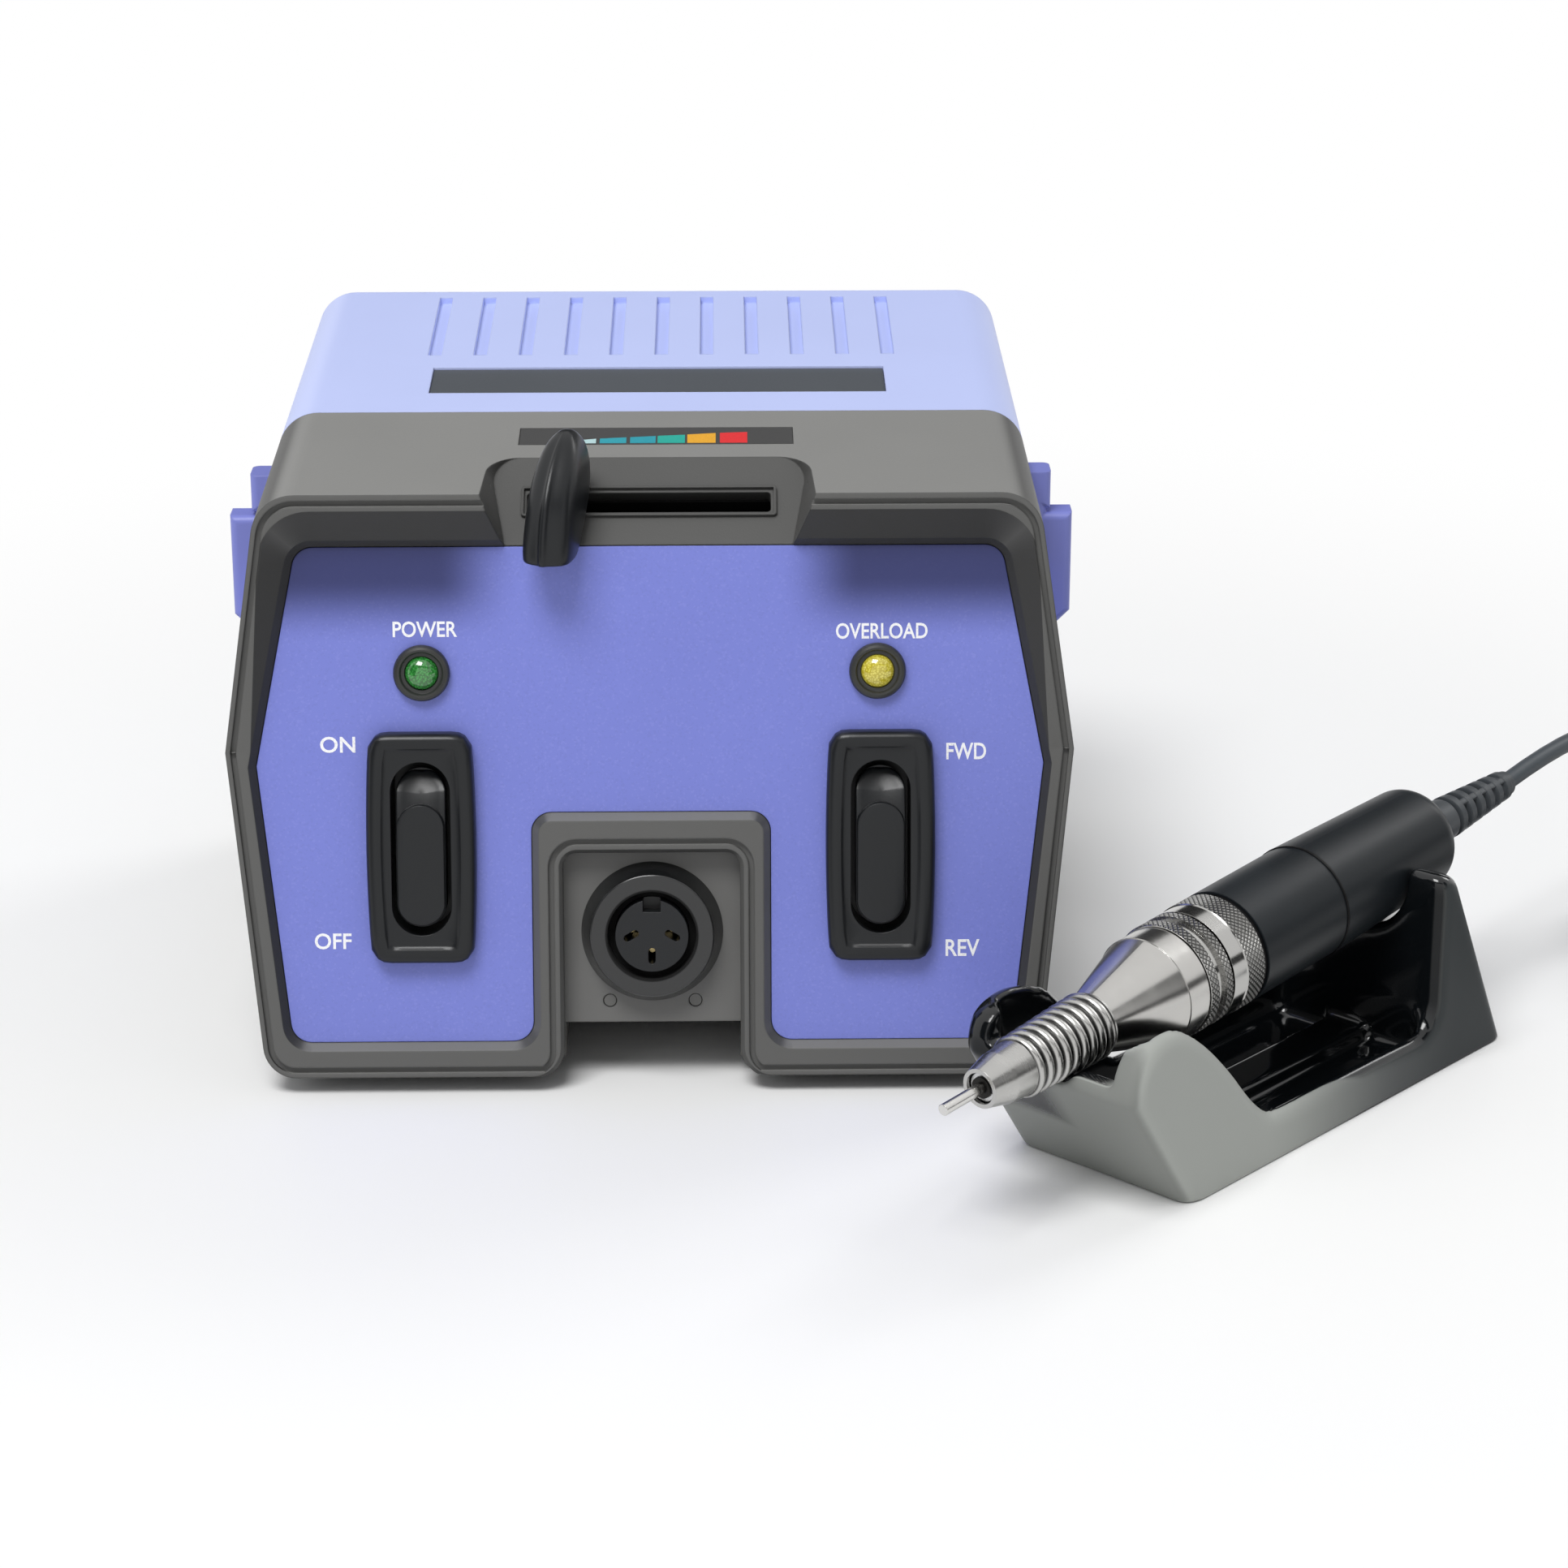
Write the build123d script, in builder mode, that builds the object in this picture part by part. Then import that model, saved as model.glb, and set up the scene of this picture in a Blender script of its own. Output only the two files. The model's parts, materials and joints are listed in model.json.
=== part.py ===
from build123d import *
from math import acos, cos, degrees, hypot, pi, radians, sin, sqrt, tan
import os

os.makedirs("parts", exist_ok=True)

# Electric nail drill: control box, handpiece in its cradle, and the handpiece's cord.
# Millimetres, +Z up, the floor at z = 0, the box's front towards -Y. The origin lies on
# the floor at the middle of the whole set, without its cord.
box_x = -50.5  # the box's middle plane, from the origin
box_y = -47.7  # the box's front bottom edge, from the origin

# Fits and cuts that many pieces share
seam = 0.25  # the parting line between two shells
seat_gap = 0.3  # a loose piece above what it lies on
slip = 0.15  # round a fixed piece in its opening
run = 0.05  # radial, round a shaft that turns
overrun = 30.0  # how far a cut reaches past what it cuts
wall = 2.5  # every shell of the box

# Control box, outer sizes
foot_height = 4.0
case_width = 176.0  # across the two ridges of its sides
case_bottom_width = 162.0
case_top_width = 160.0
case_depth = 166.0
front_lean = 11.0  # degrees, the lower front and the panel
upper_lean = 5.5  # degrees, the frame above the side ridges
lower_front = 69.2  # up the slope from the bottom edge to the ridges
upper_front = 54.1  # from the ridges to the top edge
top_rise = 3.5  # degrees, the top climbs towards the rear
side_round = 9.0
frame_corner = 7.0  # along the bottom edges
rear_round = 6.0

ridge_y = lower_front * sin(radians(front_lean))
ridge_z = foot_height + lower_front * cos(radians(front_lean))
top_y = ridge_y + upper_front * sin(radians(upper_lean))
top_z = ridge_z + upper_front * cos(radians(upper_lean))
rear_z = top_z + (case_depth - top_y) * tan(radians(top_rise))
side_slope = (case_width - case_top_width) / 2 / (top_z - ridge_z)
roof_half = case_width / 2 - side_slope * (rear_z + overrun - ridge_z)

floor_view = Plane(origin=(box_x, box_y, 0))
side_view = Plane(origin=(box_x, box_y, 0), x_dir=(0, 1, 0), z_dir=(1, 0, 0))
front_view = Plane(origin=(box_x, box_y, 0), x_dir=(1, 0, 0), z_dir=(0, -1, 0))
lean_normal = (0, -cos(radians(front_lean)), sin(radians(front_lean)))
front_plane = Plane(origin=(box_x, box_y, foot_height), x_dir=(1, 0, 0), z_dir=lean_normal)
upper_normal = (0, -cos(radians(upper_lean)), sin(radians(upper_lean)))
upper_plane = Plane(origin=(box_x, box_y + ridge_y, ridge_z), x_dir=(1, 0, 0), z_dir=upper_normal)
top_normal = (0, -sin(radians(top_rise)), cos(radians(top_rise)))
top_plane = Plane(origin=(box_x, box_y + top_y, top_z), x_dir=(1, 0, 0), z_dir=top_normal)


def case_block(inset):
    """The box's outer block, or the hollow that lies inset from it."""
    with BuildPart() as block:
        with BuildSketch(side_view):
            with BuildLine():
                Polyline(
                    (0, foot_height),
                    (ridge_y, ridge_z),
                    (top_y, top_z),
                    (case_depth, rear_z),
                    (case_depth, foot_height),
                    close=True,
                )
            make_face()
            if inset:
                offset(amount=-inset, kind=Kind.INTERSECTION)
        extrude(amount=case_width, both=True)
        with BuildSketch(front_view):
            with BuildLine():
                Polyline(
                    (-case_bottom_width / 2, foot_height),
                    (-case_width / 2, ridge_z),
                    (-roof_half, rear_z + overrun),
                    (roof_half, rear_z + overrun),
                    (case_width / 2, ridge_z),
                    (case_bottom_width / 2, foot_height),
                    close=True,
                )
            make_face()
            if inset:
                offset(amount=-inset, kind=Kind.INTERSECTION)
        extrude(amount=-2 * case_depth, mode=Mode.INTERSECT)
        flank_edges = block.edges().filter_by(
            lambda e: abs(e.center().X - box_x) > case_top_width / 3 and e.length > case_depth / 2
        )
        fillet(flank_edges.sort_by(Axis.Z)[-2:], side_round - inset)
        fillet(flank_edges.sort_by(Axis.Z)[:2], frame_corner - inset)
        rear = block.faces().sort_by(Axis.Y)[-1]
        fillet(rear.edges(), rear_round - inset)
    return block.part


# Front bezel: the grey frame round the front panel, with the front of the top
bezel_top_depth = 52.7  # on the top, from the front edge back to the lavender cover
bezel_side_depth = 36.0  # at the side ridges, from the bottom edge's plane
bezel_low_depth = 24.0  # below the ridges
bezel_wrap = 12.0  # how far the bezel's rear edge runs down the sides before it slants
frame_depth = 8.0  # thickness of the frame behind the lower front
panel_recess = 2.0
panel_thickness = 2.0
panel_lip = 3.0  # what the panel seats on, behind its edge
panel_bottom = 7.3  # up the slope, from the bottom edge
panel_ridge = 66.0
panel_top = 111.6
panel_bottom_half = 75.4
panel_ridge_half = 81.8
panel_top_half = 72.8
panel_corner = 4.3
visor_taper = 36.0  # degrees, the frame's inner bevel
visor_slope = 53.0  # degrees, the overhang above the panel
visor_height = 8.0  # past the frame's top edge, which stands proud of the lower front
groove_inset = 1.0  # the line round the frame, in from its edge
groove_width = 1.2
groove_depth = 0.9

# Alcove at the bottom middle, with the handpiece socket
alcove_half = 18.5
alcove_top = 47.6
alcove_corner = 3.0
alcove_bevel = 0.8
alcove_foot = 7.0  # radius at the foot of each leg
notch_half = 25.0  # the panel's cut-out round the alcove
notch_top = 56.1
plate_recess = 5.0
plate_thickness = 2.5
plate_lip = 3.0
plate_bottom = 10.6
tunnel_depth = 34.0
tunnel_wall = 1.4

# Scoop for the speed lever, a slope from the top down to the panel
scoop_back = 22.7  # behind the front edge, along the top
scoop_half = 29.2
scoop_rear_half = 33.4
scoop_corner = 6.0
scoop_taper = 17.0  # degrees, its side walls
scoop_skin = 3.0
slot_length = 50.6
slot_corner = 0.8
slot_width = 5.0
slot_centre = 11.0  # up the slope from the panel's top edge
slot_rim = 1.3
slot_rim_line = 0.6
slot_rim_end = 1.2
slot_rim_height = 0.8

# Plate with the colour scale, on the bezel's top
label_x = 1.3
label_front = 31.0
label_depth = 10.8
label_length = 57.8
label_thickness = 0.8

# Front panel's fittings
switch_x = 47.8
switch_y = 48.9
switch_body_width = 17.0
switch_body_height = 42.0
lamp_x = 47.2
lamp_y = 85.5
lamp_barrel_radius = 4.0

# Cover: vents, strip and screw posts
vent_x = 1.7
vent_front = 93.2
vent_length = 44.4
vent_width = 3.0
vent_pitch = 10.2
vent_count = 11
vent_depth = 1.6
strip_x = 1.2
strip_front = 66.2
strip_depth = 17.8
strip_length = 100.0
strip_recess = 0.5
post_x = 66.0
post_front_y = 86.0
post_rear_y = 150.0
post_radius = 4.0
post_places = [(x, y) for x in (-post_x, post_x) for y in (post_front_y, post_rear_y)]
screw_core_radius = 1.5
screw_length = 16.0

panel_plane = front_plane.offset(-panel_recess)
panel_back_plane = panel_plane.offset(-panel_thickness)
frame_back_plane = front_plane.offset(-frame_depth)
lean = radians(front_lean)
scoop_low_y = panel_top * sin(lean) + panel_recess * cos(lean)
scoop_low_z = foot_height + panel_top * cos(lean) - panel_recess * sin(lean)
scoop_high_y = top_y + scoop_back * cos(radians(top_rise))
scoop_high_z = top_z + scoop_back * sin(radians(top_rise))
scoop_length = hypot(scoop_high_y - scoop_low_y, scoop_high_z - scoop_low_z)
frame_top = top_y * sin(lean) + (top_z - foot_height) * cos(lean)
slope_cos = (scoop_high_y - scoop_low_y) / scoop_length
slope_sin = (scoop_high_z - scoop_low_z) / scoop_length
slope_plane = Plane(
    origin=(box_x, box_y + scoop_low_y, scoop_low_z), x_dir=(1, 0, 0), z_dir=(0, -slope_sin, slope_cos)
)


def panel_shape(grow, notched=True):
    """The panel's outline, larger all round by grow, with or without its notch."""
    with BuildSketch() as outline:
        with BuildLine():
            Polyline(
                (-panel_bottom_half, panel_bottom),
                (-panel_ridge_half, panel_ridge),
                (-panel_top_half, panel_top),
                (panel_top_half, panel_top),
                (panel_ridge_half, panel_ridge),
                (panel_bottom_half, panel_bottom),
                close=True,
            )
        make_face()
        if notched:
            with Locations((0, panel_bottom)):
                Rectangle(2 * notch_half, 2 * (notch_top - panel_bottom), mode=Mode.SUBTRACT)
        corners = outline.vertices().sort_by(Axis.X)
        fillet(corners[1:-1], panel_corner)
        if grow:
            offset(amount=grow)
    return outline.sketch


def alcove_shape(grow):
    """The alcove between the legs, open below, larger all round by grow."""
    side = alcove_half + grow
    with BuildSketch() as outline:
        with BuildLine():
            Polyline(
                (-notch_half - alcove_foot, -overrun),
                (-notch_half - alcove_foot, -alcove_bevel),
                (-side, -alcove_bevel),
                (-side, alcove_top + grow),
                (side, alcove_top + grow),
                (side, -alcove_bevel),
                (notch_half + alcove_foot, -alcove_bevel),
                (notch_half + alcove_foot, -overrun),
                close=True,
            )
        make_face()
        fillet(outline.vertices().group_by(Axis.Y)[-1], alcove_corner + grow)
        feet = outline.vertices().filter_by(lambda v: abs(abs(v.X) - side) < slip and v.Y < 0)
        fillet(feet, alcove_foot - grow)
    return outline.sketch


def frame_outline(shrink):
    """The front frame's outer edge, seen square to the lower front, smaller by shrink."""
    with BuildSketch() as outline:
        with BuildLine():
            Polyline(
                (-case_bottom_width / 2, 0),
                (-case_width / 2, lower_front),
                (-case_top_width / 2, frame_top),
                (case_top_width / 2, frame_top),
                (case_width / 2, lower_front),
                (case_bottom_width / 2, 0),
                close=True,
            )
        make_face()
        fillet(outline.vertices().group_by(Axis.Y)[0], frame_corner)
        fillet(outline.vertices().group_by(Axis.Y)[-1], side_round)
        add(alcove_shape(alcove_bevel), mode=Mode.SUBTRACT)
        offset(amount=-shrink)
    return outline.sketch


groove_line = frame_outline(groove_inset) - frame_outline(groove_inset + groove_width)


def zone(points):
    """A block across the whole box that keeps one shell's share of it."""
    with BuildPart() as block:
        with BuildSketch(side_view):
            with BuildLine():
                Polyline(*points, close=True)
            make_face()
        extrude(amount=case_width, both=True)
    return block.part


bezel_edge = [
    (bezel_low_depth, -overrun),
    (bezel_low_depth, ridge_z),
    (bezel_side_depth, ridge_z),
    (top_y + bezel_top_depth, top_z - bezel_wrap),
    (top_y + bezel_top_depth, rear_z + overrun),
]
bezel_zone = zone([(-overrun, -overrun), *bezel_edge, (-overrun, rear_z + overrun)])

with BuildPart() as frame_hollow:
    add(case_block(wall))
    with BuildSketch(frame_back_plane):
        Rectangle(2 * case_width, 3 * case_width)
    extrude(amount=-2 * case_depth, mode=Mode.INTERSECT)

with BuildPart() as front_bezel:
    add(case_block(0))
    add(bezel_zone, mode=Mode.INTERSECT)
    add(frame_hollow.part, mode=Mode.SUBTRACT)
    with BuildSketch(slope_plane.offset(-scoop_skin)):
        Rectangle(2 * scoop_half + 4 * scoop_corner, scoop_length, align=(Align.CENTER, Align.MIN))
    extrude(amount=2 * scoop_skin)
    add(case_block(0), mode=Mode.INTERSECT)
    with BuildSketch(slope_plane):
        with BuildLine():
            Polyline(
                (-scoop_half, -scoop_skin),
                (-scoop_rear_half, scoop_length),
                (scoop_rear_half, scoop_length),
                (scoop_half, -scoop_skin),
                close=True,
            )
        scoop_face = make_face()
        fillet(scoop_face.vertices().group_by(Axis.Y)[-1], scoop_corner)
    extrude(amount=overrun, taper=-scoop_taper, mode=Mode.SUBTRACT)
    with BuildSketch(panel_back_plane):
        add(panel_shape(slip))
    extrude(amount=panel_thickness, mode=Mode.SUBTRACT)
    with BuildSketch(panel_plane):
        add(panel_shape(slip))
    extrude(amount=panel_recess, taper=-visor_taper, mode=Mode.SUBTRACT)
    with BuildSketch(front_plane):
        add(panel_shape(slip + panel_recess * tan(radians(visor_taper)), notched=False))
    extrude(amount=visor_height, taper=-visor_slope, mode=Mode.SUBTRACT)
    with BuildSketch(frame_back_plane.offset(-overrun / 2)):
        add(panel_shape(-panel_lip))
    extrude(amount=overrun / 2 + frame_depth - panel_recess, mode=Mode.SUBTRACT)

    with BuildSketch(front_plane.offset(-frame_depth - overrun)):
        add(alcove_shape(0))
    extrude(amount=2 * overrun, mode=Mode.SUBTRACT)
    with BuildSketch(front_plane.offset(-alcove_bevel)):
        add(alcove_shape(0))
    extrude(amount=alcove_bevel, taper=-45, mode=Mode.SUBTRACT)
    with BuildSketch(frame_back_plane.offset(-overrun)):
        add(alcove_shape(plate_lip + slip))
    extrude(amount=overrun + frame_depth - plate_recess, mode=Mode.SUBTRACT)
    with BuildSketch(front_plane.offset(-groove_depth)):
        add(groove_line)
        Rectangle(2 * case_width, 2 * lower_front, mode=Mode.INTERSECT)
    extrude(amount=overrun, mode=Mode.SUBTRACT)
    with BuildSketch(upper_plane.offset(-groove_depth)):
        with Locations((0, -lower_front)):
            add(groove_line)
        Rectangle(2 * case_width, 2 * upper_front, align=(Align.CENTER, Align.MIN), mode=Mode.INTERSECT)
    extrude(amount=overrun, mode=Mode.SUBTRACT)
    with BuildSketch(slope_plane):
        with Locations((0, slot_centre)):
            RectangleRounded(slot_length + 2 * slot_rim_end, slot_width + 2 * slot_rim, slot_corner)
    extrude(amount=slot_rim_height)
    with BuildSketch(slope_plane):
        with Locations((0, slot_centre)):
            Rectangle(
                slot_length + 2 * slot_rim_end - 2 * slot_rim_line,
                slot_width + 2 * slot_rim - 2 * slot_rim_line,
            )
    extrude(amount=slot_rim_height, mode=Mode.SUBTRACT)
    with BuildSketch(slope_plane.offset(-overrun)):
        with Locations((0, slot_centre)):
            RectangleRounded(slot_length, slot_width, slot_corner)
    extrude(amount=2 * overrun, mode=Mode.SUBTRACT)
    with BuildSketch(top_plane):
        with Locations((label_x, label_front + label_depth / 2)):
            Rectangle(label_length + 2 * slip, label_depth + 2 * slip)
    extrude(amount=-label_thickness, mode=Mode.SUBTRACT)

# Colour scale behind the lever's slot
with BuildPart() as speed_scale:
    with BuildSketch(top_plane):
        with Locations((label_x, label_front + label_depth / 2)):
            Rectangle(label_length, label_depth)
    extrude(amount=-label_thickness)

# Front panel
with BuildPart() as front_panel:
    with BuildSketch(panel_back_plane):
        add(panel_shape(0))
    extrude(amount=panel_thickness)
    with BuildSketch(panel_plane):
        with Locations((-switch_x, switch_y), (switch_x, switch_y)):
            Rectangle(switch_body_width + 2 * slip, switch_body_height + 2 * slip)
        with Locations((-lamp_x, lamp_y), (lamp_x, lamp_y)):
            Circle(lamp_barrel_radius + slip)
    extrude(amount=-panel_thickness - seam, mode=Mode.SUBTRACT)

# Lavender cover
cover_front = top_y + bezel_top_depth + seam
cover_zone = zone(
    [
        (bezel_side_depth + seam, ridge_z),
        (cover_front, top_z - bezel_wrap),
        (cover_front, rear_z + overrun),
        (case_depth + overrun, rear_z + overrun),
        (case_depth + overrun, ridge_z),
    ]
)
with BuildPart() as top_cover:
    add(case_block(0))
    add(case_block(wall), mode=Mode.SUBTRACT)
    add(cover_zone, mode=Mode.INTERSECT)
    for post_y in (post_front_y, post_rear_y):
        with BuildSketch(floor_view.offset(foot_height + wall + seam)):
            with Locations((-post_x, post_y), (post_x, post_y)):
                Circle(post_radius)
        extrude(amount=top_z + (post_y - top_y) * tan(radians(top_rise)) - foot_height - 1.5 * wall)
    with BuildSketch(floor_view.offset(foot_height)):
        with Locations(*post_places):
            Circle(screw_core_radius)
    extrude(amount=screw_length + seam, mode=Mode.SUBTRACT)
    with BuildSketch(top_plane):
        with Locations((vent_x, vent_front + vent_length / 2)):
            with GridLocations(vent_pitch, 0, vent_count, 1):
                Rectangle(vent_width, vent_length)
        with Locations((strip_x, strip_front + strip_depth / 2)):
            Rectangle(strip_length + 2 * slip, strip_depth + 2 * slip)
    extrude(amount=-vent_depth, mode=Mode.SUBTRACT)

with BuildPart() as top_strip:
    with BuildSketch(top_plane.offset(-vent_depth)):
        with Locations((strip_x, strip_front + strip_depth / 2)):
            Rectangle(strip_length, strip_depth)
    extrude(amount=vent_depth - strip_recess)

# Lower case, with the tunnel behind the alcove's foot
lower_zone = zone(
    [
        (bezel_low_depth + seam, -overrun),
        (bezel_low_depth + seam, ridge_z - seam),
        (case_depth + overrun, ridge_z - seam),
        (case_depth + overrun, -overrun),
    ]
)
tunnel_top = foot_height + plate_bottom * cos(lean)
with BuildPart() as lower_shell:
    add(case_block(0))
    add(case_block(wall), mode=Mode.SUBTRACT)
    add(lower_zone, mode=Mode.INTERSECT)
    with BuildSketch(floor_view.offset(foot_height)):
        with Locations((0, frame_depth + plate_thickness)):
            Rectangle(
                2 * (alcove_half + tunnel_wall),
                tunnel_depth + tunnel_wall - frame_depth - plate_thickness,
                align=(Align.CENTER, Align.MIN),
            )
    extrude(amount=tunnel_top + tunnel_wall - foot_height)
    with BuildSketch(floor_view.offset(foot_height)):
        Rectangle(2 * alcove_half, tunnel_depth, align=(Align.CENTER, Align.MIN))
    extrude(amount=tunnel_top - foot_height, mode=Mode.SUBTRACT)


# Socket plate at the back of the alcove, and the four-pole round socket on it
socket_height = 30.05  # its centre, up the slope
socket_body_radius = 14.9
socket_proud = 5.2
socket_taper = 21.0  # degrees, its flank
socket_face_round = 0.5
socket_ring_inner = 9.35  # the plug's shell goes into the groove between these two
socket_core_radius = 7.65
socket_groove_depth = 4.0
socket_behind = 13.0
socket_neck_radius = 11.0
pin_slot_length = 3.4
pin_slot_width = 1.5
pin_slot_circle = 4.3
key_width = 3.7
key_height = 2.6
key_turns = (30, -30, 90)  # degrees
plate_screw_x = 9.0
plate_screw_height = 15.2
plate_screw_radius = 1.3
plate_screw_grip = 1.2  # past the plate
contact_radius = 0.7
contact_length = 22.0
nut_radius = 14.0
nut_thickness = 3.0

plate_plane = front_plane.offset(-plate_recess)
plate_back_plane = plate_plane.offset(-plate_thickness)
with BuildPart() as socket_plate:
    with BuildSketch(plate_plane):
        with Locations((0, plate_bottom)):
            Rectangle(
                2 * (alcove_half + plate_lip),
                alcove_top + plate_lip - plate_bottom,
                align=(Align.CENTER, Align.MIN),
            )
    extrude(amount=-plate_thickness)
    upright = socket_plate.edges().filter_by(lambda e: abs(e.length - plate_thickness) < slip)
    fillet(upright.sort_by(Axis.Z)[-2:], alcove_corner + plate_lip)
    with BuildSketch(plate_plane):
        with Locations((0, socket_height)):
            Circle(socket_neck_radius + slip)
        with Locations((-plate_screw_x, plate_screw_height), (plate_screw_x, plate_screw_height)):
            Circle(plate_screw_radius + slip)
    extrude(amount=-plate_thickness, mode=Mode.SUBTRACT)

with BuildPart() as socket_shell:
    with BuildSketch(plate_plane):
        with Locations((0, socket_height)):
            Circle(socket_body_radius)
    extrude(amount=socket_proud, taper=socket_taper)
    fillet(socket_shell.edges().sort_by(Axis.Y)[0], socket_face_round)
    with BuildSketch(plate_plane):
        with Locations((0, socket_height)):
            Circle(socket_neck_radius)
    extrude(amount=-socket_behind)
    with BuildSketch(plate_plane.offset(socket_proud - socket_groove_depth)):
        with Locations((0, socket_height)):
            Circle(socket_ring_inner)
    extrude(amount=overrun, mode=Mode.SUBTRACT)
    with BuildSketch(plate_plane.offset(-socket_behind)):
        with Locations((0, socket_height)):
            Circle(socket_core_radius + slip)
    extrude(amount=overrun, mode=Mode.SUBTRACT)

contact_places = [
    (pin_slot_circle * cos(radians(turn)), socket_height + pin_slot_circle * sin(radians(turn)))
    for turn in (-180, 0, -90)
]
with BuildPart() as socket_core:
    with BuildSketch(plate_plane.offset(-socket_behind)):
        with Locations((0, socket_height)):
            Circle(socket_core_radius)
    extrude(amount=socket_behind + socket_proud - slip)
    with BuildSketch(plate_plane.offset(socket_proud - slip)):
        with Locations((0, socket_height + socket_core_radius)):
            Rectangle(key_width, 2 * key_height)
    extrude(amount=-socket_groove_depth, mode=Mode.SUBTRACT)
    with BuildSketch(plate_plane.offset(-overrun)):
        for place, turn in zip(contact_places, key_turns):
            with Locations(Location((*place, 0), turn)):
                SlotOverall(pin_slot_length, pin_slot_width)
    extrude(amount=2 * overrun, mode=Mode.SUBTRACT)

with BuildPart() as socket_contacts:
    with BuildSketch(plate_plane.offset(-socket_groove_depth / 2)):
        with Locations(*contact_places):
            Circle(contact_radius)
    extrude(amount=-contact_length)

with BuildPart() as socket_nut:
    with BuildSketch(plate_back_plane):
        with Locations((0, socket_height)):
            RegularPolygon(nut_radius, 6)
            Circle(socket_neck_radius + slip, mode=Mode.SUBTRACT)
    extrude(amount=-nut_thickness)

with BuildPart() as socket_plate_screws:
    with BuildSketch(plate_plane.offset(-seam)):
        with Locations((-plate_screw_x, plate_screw_height), (plate_screw_x, plate_screw_height)):
            Circle(plate_screw_radius)
    extrude(amount=-plate_thickness - plate_screw_grip)

# Power switch on the left, direction switch on the right
bezel_width = 21.7
bezel_height = 48.8
bezel_corner = 3.4
bezel_proud = 3.0
bezel_round = 1.6
well_width = 12.4
well_height = 36.6
switch_depth = 16.0
rocker_width = 10.4
rocker_height = 33.0
rocker_ridge = 8.0  # the crease above the rocker's middle
rocker_drop = 4.6  # how far its upper end lies below its crease
rocker_sag = 1.0  # the same at its lower end
rocker_keel = 3.5  # its underside, below its pins
rocker_proud = 1.0  # of the crease, past the bezel plate's face
rocker_floor = 9.5
pivot_radius = 1.2
pivot_depth = 4.0  # of the rocker's pins, below the panel's face
face_axis = Axis((0, 0, 0), lean_normal)


def pivot_view(side):
    """A plane across the rocker's pins: up the slope, then out of the panel."""
    pivot = panel_plane.offset(-pivot_depth).from_local_coords((side * switch_x, switch_y, 0))
    return Plane(origin=pivot, x_dir=(0, sin(lean), cos(lean)), z_dir=(1, 0, 0))


def switch_housing(side):
    """The switch body behind the panel with its raised surround."""
    place = (side * switch_x, switch_y)
    with BuildPart() as housing:
        with BuildSketch(panel_plane):
            with Locations(place):
                RectangleRounded(bezel_width, bezel_height, bezel_corner)
        extrude(amount=bezel_proud)
        fillet(housing.faces().sort_by(face_axis)[-1].edges(), bezel_round)
        with BuildSketch(panel_plane):
            with Locations(place):
                Rectangle(switch_body_width, switch_body_height)
        extrude(amount=-switch_depth)
        with BuildSketch(panel_plane.offset(-rocker_floor)):
            with Locations(place):
                SlotOverall(well_height, well_width, rotation=90)
        extrude(amount=overrun, mode=Mode.SUBTRACT)
        with BuildSketch(pivot_view(side)):
            Circle(pivot_radius + run)
        extrude(amount=switch_body_width, both=True, mode=Mode.SUBTRACT)
    return housing


def rocker(side):
    """A rocker at its upper, pressed end, with the pins that it turns on."""
    crease = pivot_depth + bezel_proud + rocker_proud
    half = rocker_height / 2
    with BuildPart() as key:
        with BuildSketch(panel_plane.offset(-rocker_floor)):
            with Locations((side * switch_x, switch_y)):
                SlotOverall(rocker_height, rocker_width, rotation=90)
        extrude(amount=overrun)
        with BuildSketch(pivot_view(side)):
            with BuildLine():
                Polyline(
                    (-half, pivot_radius),
                    (-half, crease - rocker_sag),
                    (rocker_ridge, crease),
                    (half, crease - rocker_drop),
                    (half, pivot_radius),
                    (0, -rocker_keel),
                    close=True,
                )
            make_face()
        extrude(amount=rocker_width, both=True, mode=Mode.INTERSECT)
        with BuildSketch(pivot_view(side)):
            Circle(pivot_radius)
        extrude(amount=switch_body_width / 2 - slip, both=True)
    return key


power_switch = switch_housing(-1)
direction_switch = switch_housing(1)
power_rocker = rocker(-1)
direction_rocker = rocker(1)

# Lamps: two like holders, a green lens and a yellow one
lamp_ring_radius = 5.9
lamp_ring_proud = 1.8
lamp_lens_radius = 3.3
lamp_barrel_length = 9.0
lamp_lens_proud = 1.0
lamp_ring_round = 0.7
with BuildPart() as lamp_holders:
    with BuildSketch(panel_plane):
        with Locations((-lamp_x, lamp_y), (lamp_x, lamp_y)):
            Circle(lamp_ring_radius)
    extrude(amount=lamp_ring_proud)
    fillet(lamp_holders.faces().sort_by(face_axis)[-2:].edges(), lamp_ring_round)
    with BuildSketch(panel_plane):
        with Locations((-lamp_x, lamp_y), (lamp_x, lamp_y)):
            Circle(lamp_barrel_radius)
    extrude(amount=-lamp_barrel_length)
    with BuildSketch(panel_plane.offset(lamp_ring_proud)):
        with Locations((-lamp_x, lamp_y), (lamp_x, lamp_y)):
            Circle(lamp_lens_radius)
    extrude(amount=-lamp_barrel_length, mode=Mode.SUBTRACT)


def lamp_lens(side):
    """A lens with a domed end, in its holder."""
    radius = lamp_lens_radius - slip
    with BuildPart() as lens:
        with BuildSketch(panel_plane.offset(lamp_ring_proud - lamp_barrel_length)):
            with Locations((side * lamp_x, lamp_y)):
                Circle(radius)
        extrude(amount=lamp_barrel_length + lamp_lens_proud)
        fillet(lens.faces().sort_by(face_axis)[-1].edges(), lamp_lens_proud + lamp_ring_round)
    return lens


power_lens = lamp_lens(-1)
overload_lens = lamp_lens(1)

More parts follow.
